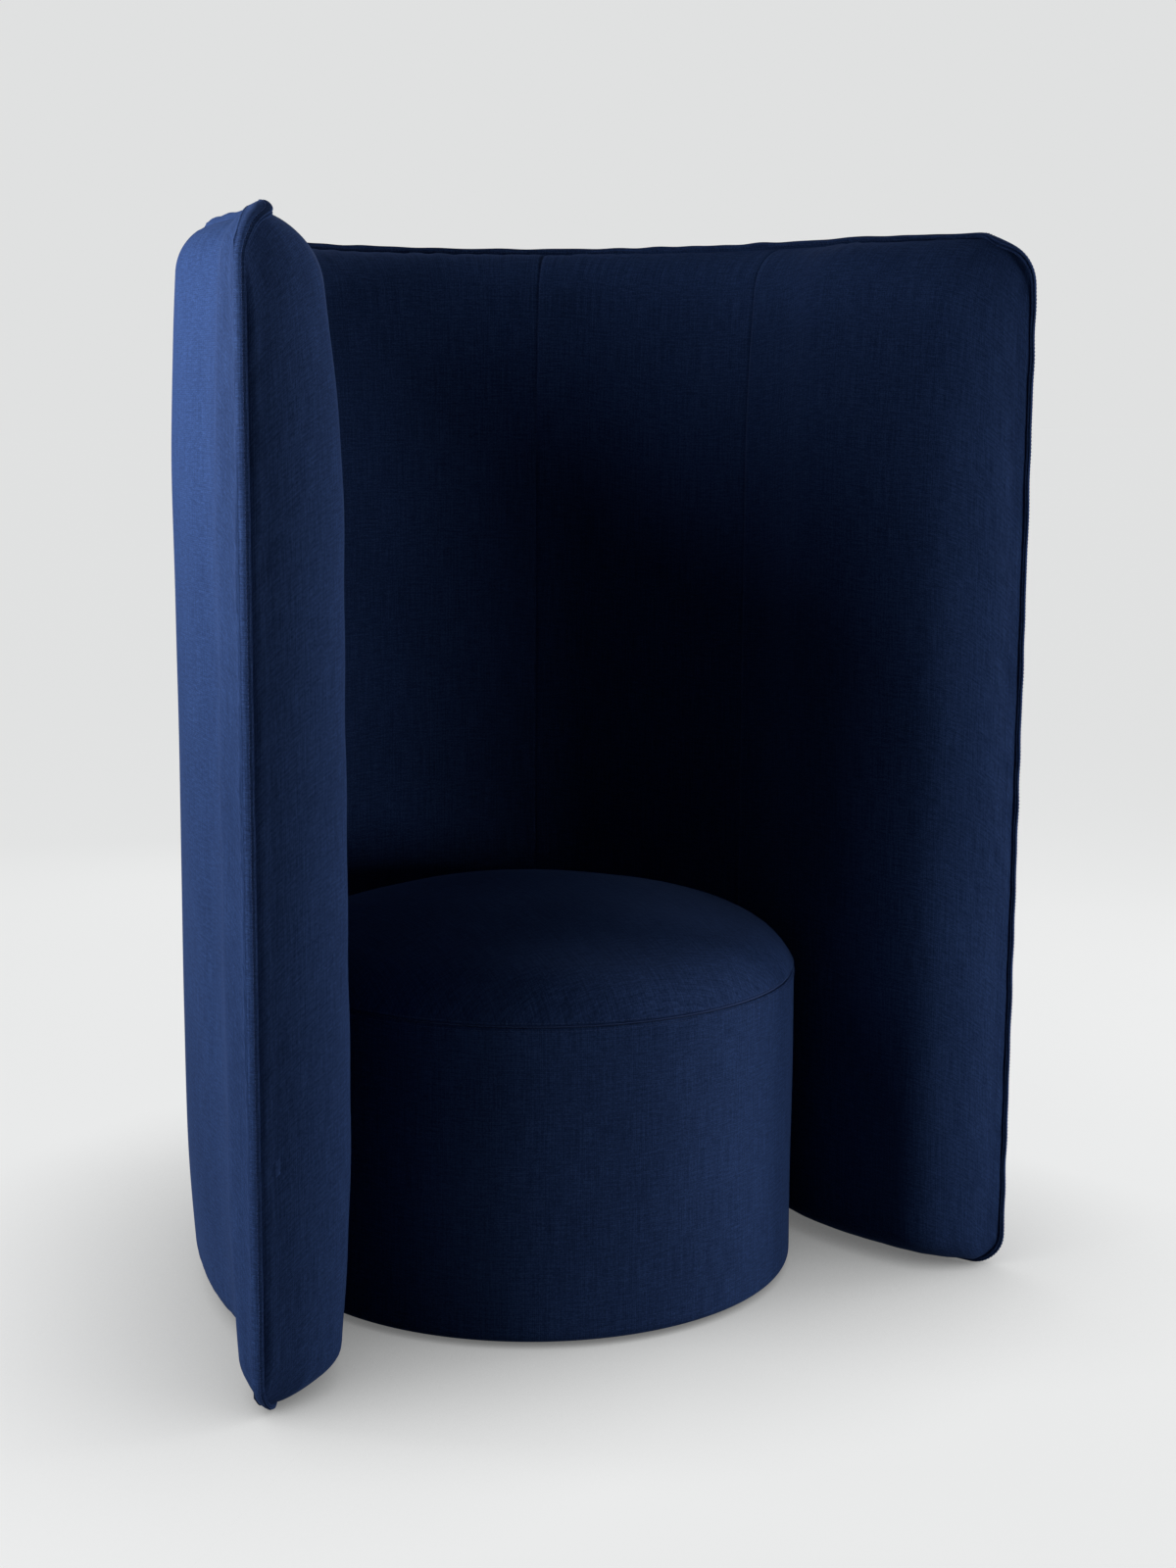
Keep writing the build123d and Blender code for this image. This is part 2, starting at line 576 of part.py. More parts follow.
def seat_soft_parts():
    """Foam and cloth of the seat."""
    half_seam = RIM_SEAM_WIDTH / 2
    top = SEAT_RIM_Z + SEAT_CROWN
    holes = bolt_holes(BOLT_LINES, SLEEVE_RADIUS + SLEEVE_ROOM, near=SEAT_WALL_RADIUS)
    foam_inside = SEAT_WALL_RADIUS + FIT
    corner = SEAT_BOTTOM_CORNER - PAD_INSET
    side_foam = turn_seat([
        Line((foam_inside, SEAT_BASE_Z), (SEAT_FOAM_RADIUS - corner, SEAT_BASE_Z)),
        RadiusArc((SEAT_FOAM_RADIUS - corner, SEAT_BASE_Z), (SEAT_FOAM_RADIUS, SEAT_BASE_Z + corner), -corner),
        Line((SEAT_FOAM_RADIUS, SEAT_BASE_Z + corner), (SEAT_FOAM_RADIUS, SEAT_FOAM_Z)),
        Line((SEAT_FOAM_RADIUS, SEAT_FOAM_Z), (foam_inside, SEAT_FOAM_Z)),
        Line((foam_inside, SEAT_FOAM_Z), (foam_inside, SEAT_BASE_Z)),
    ])
    foam_rim = SEAT_RIM_Z - PAD_INSET
    top_foam = turn_seat(crown_line(SEAT_FOAM_RADIUS, foam_rim, top - PAD_INSET) + [
        Line((SEAT_FOAM_RADIUS, foam_rim), (SEAT_FOAM_RADIUS, SEAT_FOAM_Z)),
        Line((SEAT_FOAM_RADIUS, SEAT_FOAM_Z), (0, SEAT_FOAM_Z)),
        Line((0, SEAT_FOAM_Z), (0, top - PAD_INSET)),
    ])
    rim_high = SEAT_RIM_Z + half_seam
    cloth_inside = SEAT_RADIUS - COVER_THICKNESS
    top_cover = turn_seat(
        crown_line(SEAT_RADIUS, rim_high, top) + crown_line(cloth_inside, rim_high, top - COVER_THICKNESS)
        + [Line((0, top), (0, top - COVER_THICKNESS)), Line((SEAT_RADIUS, rim_high), (cloth_inside, rim_high))]
    )
    return {
        "seat_side_foam": side_foam - holes,
        "seat_top_foam": top_foam,
        "seat_top_cover": top_cover,
        "seat_side_cover": make_side_cover(SEAT_RIM_Z - half_seam, cloth_inside) - holes,
        "seat_rim_seam": seat_ring(cloth_inside, cloth_inside + RIM_SEAM_DEPTH, SEAT_RIM_Z - half_seam, rim_high),
    }


def make_side_cover(high, cloth_inside):
    """The seat's side band, turned under at the floor and hemmed."""
    bend = SEAT_BOTTOM_CORNER
    bend_z = SEAT_HEM_Z + bend
    inner_bend = bend - COVER_THICKNESS
    hem_end = SEAT_RADIUS - SEAT_HEM
    hem_high = SEAT_HEM_Z + COVER_THICKNESS
    return turn_seat([
        Line((SEAT_RADIUS, high), (SEAT_RADIUS, bend_z)),
        RadiusArc((SEAT_RADIUS, bend_z), (SEAT_RADIUS - bend, SEAT_HEM_Z), bend),
        Line((SEAT_RADIUS - bend, SEAT_HEM_Z), (hem_end, SEAT_HEM_Z)),
        Line((hem_end, SEAT_HEM_Z), (hem_end, hem_high)),
        Line((hem_end, hem_high), (SEAT_RADIUS - bend, hem_high)),
        RadiusArc((SEAT_RADIUS - bend, hem_high), (cloth_inside, bend_z), -inner_bend),
        Line((cloth_inside, bend_z), (cloth_inside, high)),
        Line((cloth_inside, high), (SEAT_RADIUS, high)),
    ])


def seat_frame():
    """Boards, posts, wall, webbing, glides and screws of the seat."""
    angles = [line[0] for line in BOLT_LINES.values()] + list(SEAT_FRONT_POST_ANGLES)
    base_top = SEAT_BASE_Z + SEAT_BOARD
    ring_low = SEAT_DECK_Z - SEAT_BOARD
    post_middle = (SEAT_POST_FACE + SEAT_POST_BACK) / 2
    points = [
        (post_middle * math.cos(math.radians(angle)), SEAT_Y + post_middle * math.sin(math.radians(angle)))
        for angle in angles
    ]
    screw_holes = screws_at(points, SEAT_BASE_Z, SEAT_DECK_Z, HOLE_CLEARANCE)
    bolt_way = bolt_holes(BOLT_LINES, BOLT_RADIUS + FIT)
    block = Pos(0, 0, base_top) * Box(
        SEAT_POST_DEPTH, SEAT_POST_WIDTH, ring_low - base_top, align=(Align.CENTER, Align.CENTER, Align.MIN)
    )
    posts = [
        Pos(x, y, 0) * Rot(0, 0, angle) * block - screw_holes - bolt_way for (x, y), angle in zip(points, angles)
    ]
    ring_inside = SEAT_FRAME_RADIUS - SEAT_RING_WIDTH
    glide_spots = PolarLocations(GLIDE_CIRCLE, GLIDE_COUNT, start_angle=180 / GLIDE_COUNT)
    glide = chamfer(upright(GLIDE_RADIUS, 0, SEAT_BASE_Z).edges().group_by(Axis.Z)[0], EDGE_BREAK)
    glides = [Pos(0, SEAT_Y, 0) * spot * glide for spot in glide_spots]
    glide_holes = [Pos(0, SEAT_Y, 0) * spot * upright(GLIDE_RADIUS + FIT, 0, SEAT_BASE_Z) for spot in glide_spots]
    dust_cover = seat_ring(0, SEAT_RADIUS - SEAT_HEM - FIT, SEAT_BASE_Z - DUST_COVER, SEAT_BASE_Z)
    return {
        "seat_base_board": seat_ring(0, SEAT_FRAME_RADIUS, SEAT_BASE_Z, base_top) - screw_holes,
        "seat_deck_ring": seat_ring(ring_inside, SEAT_FRAME_RADIUS, ring_low, SEAT_DECK_Z) - screw_holes,
        "seat_posts": Compound(children=posts),
        "seat_wall": seat_ring(SEAT_FRAME_RADIUS + FIT, SEAT_WALL_RADIUS, SEAT_BASE_Z, SEAT_DECK_Z) - bolt_way,
        "seat_screws": Compound(children=screws_at(points, SEAT_BASE_Z, SEAT_DECK_Z)),
        "seat_webbing": Compound(children=make_webbing()),
        "seat_glides": Compound(children=glides),
        "seat_dust_cover": dust_cover - glide_holes,
    }


def make_webbing():
    """Straps across the deck ring, and a second layer square to them."""
    reach = SEAT_FRAME_RADIUS - STRAP_EDGE
    straps = []
    for layer, turn in enumerate((0, 90)):
        for number in range(STRAP_COUNT):
            offset = (number - (STRAP_COUNT - 1) / 2) * STRAP_SPACING
            length = 2 * math.sqrt(reach ** 2 - (abs(offset) + STRAP_WIDTH / 2) ** 2)
            strap = Box(length, STRAP_WIDTH, STRAP_THICKNESS, align=(Align.CENTER, Align.CENTER, Align.MIN))
            height = SEAT_DECK_Z + layer * STRAP_THICKNESS
            straps.append(Pos(0, SEAT_Y, height) * Rot(0, 0, turn) * Pos(0, offset, 0) * strap)
    return straps


def seat_fixings():
    """Bolts, sleeves and inserts that hold the seat to the screen."""
    bolts, sleeves = [], []
    for angle, reach in BOLT_LINES.values():
        for z in BOLT_HEIGHTS:
            shank = radial(angle, SEAT_POST_BACK, reach + FRAME_HALF - INSERT_TAIL, BOLT_RADIUS, z)
            head = radial(angle, SEAT_POST_BACK - BOLT_HEAD_HEIGHT, SEAT_POST_BACK, BOLT_HEAD_RADIUS, z)
            bolts.append(shank + head)
            ends = SEAT_WALL_RADIUS + FIT, reach - SKIN_SIDE - FIT
            sleeves.append(radial(angle, *ends, SLEEVE_RADIUS, z) - radial(angle, *ends, BOLT_RADIUS + FIT, z))
    inserts = [plane * (insert_body(INSERT_LENGTH) - insert_bore()) for plane in bolt_insert_planes()]
    return {
        "seat_bolts": Compound(children=bolts),
        "spacer_sleeves": Compound(children=sleeves),
        "seat_bolt_inserts": Compound(children=inserts),
    }


os.makedirs("parts", exist_ok=True)
for build in (screen_frame, screen_padding, levelling_feet, seat_soft_parts, seat_frame, seat_fixings):
    for node, shape in build().items():
        export_step(shape, f"parts/{node}.step")
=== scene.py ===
"""Dresses the high back lounge chair: padded screen, drum seat, edge flange, seams and stitching."""

import json
import logging
import math
from collections.abc import Sequence
from dataclasses import dataclass, field
from enum import Enum
from itertools import pairwise

import bmesh
import bpy
import numpy as np
from mathutils import Matrix, Vector


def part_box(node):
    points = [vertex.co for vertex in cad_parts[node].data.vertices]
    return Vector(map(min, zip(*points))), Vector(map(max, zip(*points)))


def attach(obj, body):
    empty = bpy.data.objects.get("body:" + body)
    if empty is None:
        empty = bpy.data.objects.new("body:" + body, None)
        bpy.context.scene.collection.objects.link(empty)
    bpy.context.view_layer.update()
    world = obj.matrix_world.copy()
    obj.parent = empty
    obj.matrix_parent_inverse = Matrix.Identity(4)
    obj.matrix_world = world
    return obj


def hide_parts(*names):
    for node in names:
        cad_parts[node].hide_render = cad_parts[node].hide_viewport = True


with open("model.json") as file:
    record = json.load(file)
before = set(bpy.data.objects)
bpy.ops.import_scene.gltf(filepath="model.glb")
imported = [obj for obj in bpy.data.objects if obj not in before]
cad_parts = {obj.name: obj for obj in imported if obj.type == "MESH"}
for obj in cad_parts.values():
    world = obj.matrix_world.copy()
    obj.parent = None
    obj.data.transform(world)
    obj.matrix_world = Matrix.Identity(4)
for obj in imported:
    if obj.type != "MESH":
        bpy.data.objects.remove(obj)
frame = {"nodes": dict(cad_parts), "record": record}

MM = 0.001
TINY = 1e-12
BODY = "chair"
HOLE_SIDES = 32
# Scale at which a wave texture draws one band per unit of its coordinates
ONE_BAND = 0.314
# Start, end and radius of a round hole
Hole = tuple[Vector, Vector, float]
# Places and sRGB hex colours of a colour ramp, lowest first
Stops = tuple[tuple[float, str], ...]
log = logging.getLogger("lounge_chair")


class Facing(Enum):
    """The two sides of the screen, with the sign of their depth from the seam line."""

    INNER = 1
    OUTER = -1


class Slot(Enum):
    """Material slots of the record."""

    CLOTH = "navy_cloth"
    THREAD = "seam_thread"
    TEXTILE = "black_textile"
    FOAM = "upholstery_foam"
    PLYWOOD = "plywood"
    HARDBOARD = "hardboard"
    STEEL = "zinc_steel"
    NYLON = "nylon_foot"


# Finishes


def linear(hex_colour: str) -> tuple[float, float, float, float]:
    """Turns an sRGB hex colour into linear light.

    Args:
        hex_colour: Six hex digits, such as "1d2b4c".

    Returns:
        Red, green, blue and an alpha of one.
    """
    values = [int(hex_colour[at:at + 2], 16) / 255 for at in (0, 2, 4)]
    # The sRGB transfer curve
    light = [v / 12.92 if v <= 0.04045 else ((v + 0.055) / 1.055) ** 2.4 for v in values]
    return light[0], light[1], light[2], 1.0


def add_node(
    tree: bpy.types.NodeTree, kind: str, settings: dict | None = None, **links: bpy.types.NodeSocket
) -> bpy.types.Node:
    """Adds one shader node with its settings and links.

    Args:
        tree: The node tree that gets the node.
        kind: The node's type name.
        settings: Values for attributes, and for inputs by name or number; "stops" sets a colour ramp.
        links: Output sockets for inputs by name, with underscores for spaces, or by number as in0 or in1.

    Returns:
        The new node.
    """
    node = tree.nodes.new(kind)
    for key, value in (settings or {}).items():
        if key == "stops":
            elements = node.color_ramp.elements
            for at, (place, colour) in enumerate(value):
                element = elements[at] if at < len(elements) else elements.new(place)
                element.position = place
                element.color = linear(colour)
        elif isinstance(key, int) or key in node.inputs:
            node.inputs[key].default_value = value
        else:
            setattr(node, key, value)
    for key, socket in links.items():
        goal = int(key[2:]) if key[:2] == "in" and key[2:].isdigit() else key.replace("_", " ")
        tree.links.new(socket, node.inputs[goal])
    return node


def seen_ray(tree: bpy.types.NodeTree) -> bpy.types.NodeSocket:
    """Tells rays that show a surface, seen directly, mirrored or through glass, from rays that light one.

    Args:
        tree: The node tree.

    Returns:
        A socket that is one for rays that show a surface.
    """
    ray = add_node(tree, "ShaderNodeLightPath").outputs
    seen = ray["Is Camera Ray"]
    for other in ("Is Glossy Ray", "Is Transmission Ray"):
        seen = add_node(tree, "ShaderNodeMath", {"operation": "MAXIMUM"}, in0=seen, in1=ray[other]).outputs[0]
    return seen


@dataclass(frozen=True)
class Finish:
    """A material with a principled shader and patterns sized in millimetres."""

    name: str
    roughness: float = 0.6
    ior: float = 1.5
    metallic: float = 0.0
    specular: float = 0.5
    stops: Stops = ()

    def start(self) -> tuple[bpy.types.Material, bpy.types.NodeTree, bpy.types.Node]:
        """Makes an empty material with its shader.

        Returns:
            The material, its node tree and its principled shader node.
        """
        material = bpy.data.materials.new(self.name)
        material.use_nodes = True
        tree = material.node_tree
        tree.nodes.clear()
        shader = add_node(tree, "ShaderNodeBsdfPrincipled", {
            "Roughness": self.roughness,
            "IOR": self.ior,
            "Metallic": self.metallic,
            "Specular IOR Level": self.specular,
        })
        add_node(tree, "ShaderNodeOutputMaterial", Surface=shader.outputs["BSDF"])
        return material, tree, shader

    @staticmethod
    def spaced(tree: bpy.types.NodeTree, source: str, spacing_mm: Sequence[float]) -> bpy.types.NodeSocket:
        """Coordinates that grow by one over each given spacing.

        Args:
            tree: The node tree.
            source: The texture coordinate output, "UV" or "Object", both in metres.
            spacing_mm: The three spacings in millimetres.

        Returns:
            The scaled coordinate socket.
        """
        coordinates = add_node(tree, "ShaderNodeTexCoord")
        scale = [1 / (spacing * MM) for spacing in spacing_mm]
        mapping = add_node(tree, "ShaderNodeMapping", {"Scale": scale}, Vector=coordinates.outputs[source])
        return mapping.outputs["Vector"]


@dataclass(frozen=True)
class YarnNoise:
    """One uneven layer of a cloth: its spacing, its fineness and its share of the tone."""

    width_mm: float
    height_mm: float
    detail: float
    roughness: float
    share: float


@dataclass(frozen=True)
class MilledWool(Finish):
    """Navy wool-blend cloth, woven and lightly milled.

    The eye sees a matt dark blue with fine upright streaks from uneven yarn, a soft bloom at grazing
    angles from its raised fibres, and a small grain from the weave.
    """

    name: str = "wool_blend_woven_milled"
    roughness: float = 0.9
    ior: float = 1.46
    specular: float = 0.06
    stops: Stops = ((0.34, "1a2a4c"), (0.5, "24375f"), (0.66, "2f4572"))
    # Width and height in millimetres, detail, roughness and share of each layer
    fibre: YarnNoise = YarnNoise(2.6, 2.6, 2.0, 0.7, 0.65)
    rib: YarnNoise = YarnNoise(22.0, 3.0, 2.0, 0.6, 0.4)
    slub: YarnNoise = YarnNoise(2.2, 60.0, 3.0, 0.6, 0.45)
    patch: YarnNoise = YarnNoise(260.0, 260.0, 2.0, 0.5, 0.2)
    tone_shift: float = -0.45
    # Weave, bump and the bloom of the raised fibres
    yarn_mm: float = 2.4
    yarn_detail: float = 1.0
    yarn_distortion: float = 1.5
    yarn_share: float = 0.14
    grain: float = 0.6
    bump: float = 0.35
    bump_mm: float = 0.15
    sheen: float = 0.12
    sheen_roughness: float = 0.45
    sheen_tint: str = "6f8bc8"

    def material(self) -> bpy.types.Material:
        """Builds the cloth; the yarn is drawn at twice its real 1.2 mm, so that it shows in the render.

        Returns:
            The material.
        """
        material, tree, shader = self.start()
        layers: dict[YarnNoise, bpy.types.NodeSocket] = {}
        for noise in (self.fibre, self.rib, self.slub, self.patch):
            place = self.spaced(tree, "UV", (noise.width_mm, noise.height_mm, noise.height_mm))
            settings = {"Scale": 1.0, "Detail": noise.detail, "Roughness": noise.roughness}
            layers[noise] = add_node(tree, "ShaderNodeTexNoise", settings, Vector=place).outputs["Fac"]
        place = self.spaced(tree, "UV", (self.yarn_mm, self.yarn_mm, self.yarn_mm))
        yarns = []
        for direction in ("Y", "X"):
            settings = {
                "wave_type": "BANDS",
                "bands_direction": direction,
                "Scale": ONE_BAND,
                "Distortion": self.yarn_distortion,
                "Detail": self.yarn_detail,
            }
            yarns.append(add_node(tree, "ShaderNodeTexWave", settings, Vector=place).outputs["Fac"])
        higher = add_node(tree, "ShaderNodeMath", {"operation": "MAXIMUM"}, in0=yarns[0], in1=yarns[1])
        weave = higher.outputs[0]
        # Each layer adds its share to the layers before it, the first one to the shift
        shares = [(socket, noise.share) for noise, socket in layers.items()]
        tone: dict[str, bpy.types.NodeSocket] = {}
        for socket, share in [*shares, (weave, self.yarn_share)]:
            settings = {"operation": "MULTIPLY_ADD", 1: share, 2: self.tone_shift}
            tone = {"in2": add_node(tree, "ShaderNodeMath", settings, in0=socket, **tone).outputs[0]}
        colour = add_node(tree, "ShaderNodeValToRGB", {"stops": self.stops}, in0=tone["in2"])
        tree.links.new(colour.outputs["Color"], shader.inputs["Base Color"])
        settings = {"operation": "MULTIPLY_ADD", 1: self.grain}
        grain = add_node(tree, "ShaderNodeMath", settings, in0=weave, in2=layers[self.slub])
        settings = {"Strength": self.bump, "Distance": self.bump_mm * MM}
        bump = add_node(tree, "ShaderNodeBump", settings, Height=grain.outputs[0])
        tree.links.new(bump.outputs["Normal"], shader.inputs["Normal"])
        shader.inputs["Sheen Weight"].default_value = self.sheen
        shader.inputs["Sheen Roughness"].default_value = self.sheen_roughness
        shader.inputs["Sheen Tint"].default_value = linear(self.sheen_tint)
        return material


@dataclass(frozen=True)
class TwistedThread(Finish):
    """Polyester sewing thread, spun and twisted: a little glossier than the cloth, with slanted plies."""

    name: str = "polyester_thread_twisted"
    roughness: float = 0.75
    ior: float = 1.57
    specular: float = 0.1
    stops: Stops = ((0.1, "1d2d50"), (0.9, "3c5284"))
    ply_mm: float = 0.8
    ply_distortion: float = 0.6

    def material(self) -> bpy.types.Material:
        """Builds the thread with slanted ply bands.

        Returns:
            The material.
        """
        material, tree, shader = self.start()
        place = self.spaced(tree, "Object", (self.ply_mm, self.ply_mm, self.ply_mm))
        plies = add_node(tree, "ShaderNodeTexWave", {
            "wave_type": "BANDS",
            "bands_direction": "DIAGONAL",
            "Scale": ONE_BAND,
            "Distortion": self.ply_distortion,
        }, Vector=place)
        colour = add_node(tree, "ShaderNodeValToRGB", {"stops": self.stops}, in0=plies.outputs["Fac"])
        tree.links.new(colour.outputs["Color"], shader.inputs["Base Color"])
        return material


@dataclass(frozen=True)
class GrainedFinish(Finish):
    """A solid material whose colour follows stretched or even noise, with a matching bump."""

    grain_mm: tuple[float, float, float] = (2.0, 2.0, 2.0)
    detail: float = 6.0
    bump: float = 0.4
    bump_mm: float = 0.1

    def material(self) -> bpy.types.Material:
        """Builds the grain and its bump.

        Returns:
            The material.
        """
        material, tree, shader = self.start()
        place = self.spaced(tree, "Object", self.grain_mm)
        grain = add_node(tree, "ShaderNodeTexNoise", {"Scale": 1.0, "Detail": self.detail}, Vector=place)
        colour = add_node(tree, "ShaderNodeValToRGB", {"stops": self.stops}, in0=grain.outputs["Fac"])
        tree.links.new(colour.outputs["Color"], shader.inputs["Base Color"])
        settings = {"Strength": self.bump, "Distance": self.bump_mm * MM}
        bump = add_node(tree, "ShaderNodeBump", settings, Height=grain.outputs["Fac"])
        tree.links.new(bump.outputs["Normal"], shader.inputs["Normal"])
        return material


@dataclass(frozen=True)
class StudioPaper(Finish):
    """Studio paper, rolled out: matt pale grey with a faint unevenness, lit up where it shows, with a painted
    shadow under the chair.
    """

    name: str = "studio_paper_rolled"
    roughness: float = 0.9
    ior: float = 1.45
    specular: float = 0.0
    stops: Stops = ((0.3, "616161"), (0.7, "656565"))
    cloud_mm: float = 900.0
    cloud_detail: float = 3.0
    glow: float = 0.98
    glow_colour: str = "e2e3e3"
    # Painted shadow: reach, depth and samples of the occlusion that darkens the glow under the chair
    painted_shadow_reach: float = 0.4
    painted_shadow_depth: float = 0.85
    painted_shadow_samples: int = 8

    def material(self) -> bpy.types.Material:
        """Builds the paper, which glows where it shows; a painted shadow dims the glow where the chair stands
        close over it.

        Returns:
            The material.
        """
        material, tree, shader = self.start()
        place = self.spaced(tree, "Object", (self.cloud_mm, self.cloud_mm, self.cloud_mm))
        settings = {"Scale": 1.0, "Detail": self.cloud_detail}
        cloud = add_node(tree, "ShaderNodeTexNoise", settings, Vector=place)
        colour = add_node(tree, "ShaderNodeValToRGB", {"stops": self.stops}, in0=cloud.outputs["Fac"])
        tree.links.new(colour.outputs["Color"], shader.inputs["Base Color"])
        shader.inputs["Emission Color"].default_value = linear(self.glow_colour)
        # Painted shadow: ambient occlusion dims the glow near the chair, standing in for its soft shadow on
        # the floor
        settings = {"samples": self.painted_shadow_samples, "Distance": self.painted_shadow_reach}
        shadow_occlusion = add_node(tree, "ShaderNodeAmbientOcclusion", settings)
        painted_shadow_glow = self.glow * (1 - self.painted_shadow_depth)
        settings = {"operation": "MULTIPLY_ADD", 1: self.glow * self.painted_shadow_depth, 2: painted_shadow_glow}
        glow = add_node(tree, "ShaderNodeMath", settings, in0=shadow_occlusion.outputs["AO"])
        settings = {"operation": "MULTIPLY"}
        shown = add_node(tree, "ShaderNodeMath", settings, in0=glow.outputs[0], in1=seen_ray(tree))
        tree.links.new(shown.outputs[0], shader.inputs["Emission Strength"])
        return material


# Birch plywood, peeled and glued: pale tan with long low-contrast grain
BIRCH_PLYWOOD = GrainedFinish(
    "birch_plywood_peeled", 0.65, grain_mm=(5.0, 5.0, 140.0),
    stops=((0.3, "b08a5c"), (0.5, "c9a777"), (0.72, "d9bd92")),
)
# Hardboard, hot-pressed wood fibre: even brown with a fine fibrous mottle
HARDBOARD = GrainedFinish(
    "hardboard_hot_pressed", 0.7, grain_mm=(3.0, 3.0, 3.0),
    stops=((0.3, "5e4029"), (0.7, "7d5a3c")),
)
# Polyurethane foam, cut open-cell block: cream, dull and pitted by its cells
CUT_FOAM = GrainedFinish(
    "polyurethane_foam_cut", 0.95, 1.45, grain_mm=(1.6, 1.6, 1.6), bump_mm=0.5,
    stops=((0.3, "cfc49f"), (0.7, "e8dfc0")),
)
# Steel, zinc electroplated: pale grey with a faint cloudy spangle
ZINC_STEEL = GrainedFinish(
    "steel_zinc_plated", 0.32, metallic=1.0, grain_mm=(6.0, 6.0, 6.0), bump_mm=0.02,
    stops=((0.3, "aeb2b4"), (0.7, "d0d3d4")),
)
# Nylon, injection moulded: black with a slight gloss and a spark-eroded texture
MOULDED_NYLON = GrainedFinish(
    "nylon_injection_moulded", 0.5, 1.53, grain_mm=(0.8, 0.8, 0.8), bump_mm=0.05,
    stops=((0.3, "101010"), (0.7, "1b1b1b")),
)
# Polypropylene, woven strap and spun felt: black and fibrous
BLACK_TEXTILE = GrainedFinish(
    "polypropylene_woven", 0.85, 1.49, grain_mm=(1.5, 6.0, 1.5), bump_mm=0.2,
    stops=((0.3, "0c0c0d"), (0.7, "1e1e20")),
)


class Finishes:
    """The materials, one per slot of the record."""

    def __init__(self) -> None:
        """Builds every material once."""
        self.by_slot: dict[Slot, bpy.types.Material] = {
            Slot.CLOTH: MilledWool().material(),
            Slot.THREAD: TwistedThread().material(),
            Slot.TEXTILE: BLACK_TEXTILE.material(),
            Slot.FOAM: CUT_FOAM.material(),
            Slot.PLYWOOD: BIRCH_PLYWOOD.material(),
            Slot.HARDBOARD: HARDBOARD.material(),
            Slot.STEEL: ZINC_STEEL.material(),
            Slot.NYLON: MOULDED_NYLON.material(),
        }

    def dress(
        self, piece: bpy.types.Object, slot: Slot, nodes: Sequence[str] = ()
    ) -> None:
        """Gives a piece its material, slot and body, and puts it in place of its CAD nodes.

        Args:
            piece: The new piece.
            slot: The record's slot for it.
            nodes: The CAD nodes it stands for.
        """
        piece.data.materials.clear()
        piece.data.materials.append(self.by_slot[slot])
        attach(piece, BODY)
        if nodes:
            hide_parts(*nodes)

    def dress_frame(self) -> None:
        """Gives every carried-over CAD node the material of its own slot."""
        slots = {entry["node"]: Slot(entry["material_slot"]) for entry in frame["record"]["subparts"]}
        for name, node in frame["nodes"].items():
            node.data.materials.clear()
            node.data.materials.append(self.by_slot[slots[name]])


# Meshes


def ripple(along: np.ndarray, across: np.ndarray, wavelength: float, seed: int) -> np.ndarray:
    """Smooth uneven waves between about -1 and 1, the same in every run.

    Args:
        along: First coordinate in metres.
        across: Second coordinate in metres.
        wavelength: Usual distance between crests in metres.
        seed: Picks one pattern.

    Returns:
        The height of the waves at each point.
    """
    rng = np.random.default_rng(seed)
    total = np.zeros(np.broadcast(along, across).shape)
    waves = 7
    shortest, longest = 0.7, 1.6
    for _ in range(waves):
        angle = rng.uniform(0, 2 * math.pi)
        stretch = rng.uniform(shortest, longest)
        phase = rng.uniform(0, 2 * math.pi)
        way = along * math.cos(angle) + across * math.sin(angle)
        total += np.sin(2 * math.pi * way / (wavelength * stretch) + phase)
    return total / math.sqrt(waves)


def grid_faces(
    rows: int, columns: int, offset: int = 0, closed_rows: bool = False, closed_columns: bool = False
) -> list[tuple[int, ...]]:
    """Quads of a grid whose points run along each row.

    Args:
        rows: Number of rows.
        columns: Points in a row.
        offset: Index of the first point.
        closed_rows: Whether the last row joins the first.
        closed_columns: Whether the last point of a row joins its first.

    Returns:
        The quads.
    """
    faces = []
    for row in range(rows if closed_rows else rows - 1):
        this = offset + row * columns
        following = offset + (row + 1) % rows * columns
        for at in range(columns if closed_columns else columns - 1):
            beside = (at + 1) % columns
            faces.append((this + at, this + beside, following + beside, following + at))
    return faces


def mesh_piece(
    name: str, points: np.ndarray, faces: Sequence[Sequence[int]], cloth: np.ndarray | None = None
) -> bpy.types.Object:
    """Makes a smooth mesh object with outward faces.

    Args:
        name: The piece's name.
        points: Its points, one row each.
        faces: Its faces as point indices.
        cloth: Place of each point on the flat cloth in metres, kept as UVs.

    Returns:
        The object.
    """
    mesh = bpy.data.meshes.new(name)
    mesh.from_pydata(points.tolist(), [], faces)
    if cloth is not None:
        corners = np.empty(len(mesh.loops), dtype=np.int32)
        mesh.loops.foreach_get("vertex_index", corners)
        mesh.uv_layers.new(name="cloth").data.foreach_set("uv", cloth[corners].astype(np.float32).ravel())
    work = bmesh.new()
    work.from_mesh(mesh)
    bmesh.ops.recalc_face_normals(work, faces=work.faces)
    work.to_mesh(mesh)
    work.free()
    mesh.polygons.foreach_set("use_smooth", np.ones(len(mesh.polygons), dtype=bool))
    piece = bpy.data.objects.new(name, mesh)
    bpy.context.scene.collection.objects.link(piece)
    return piece


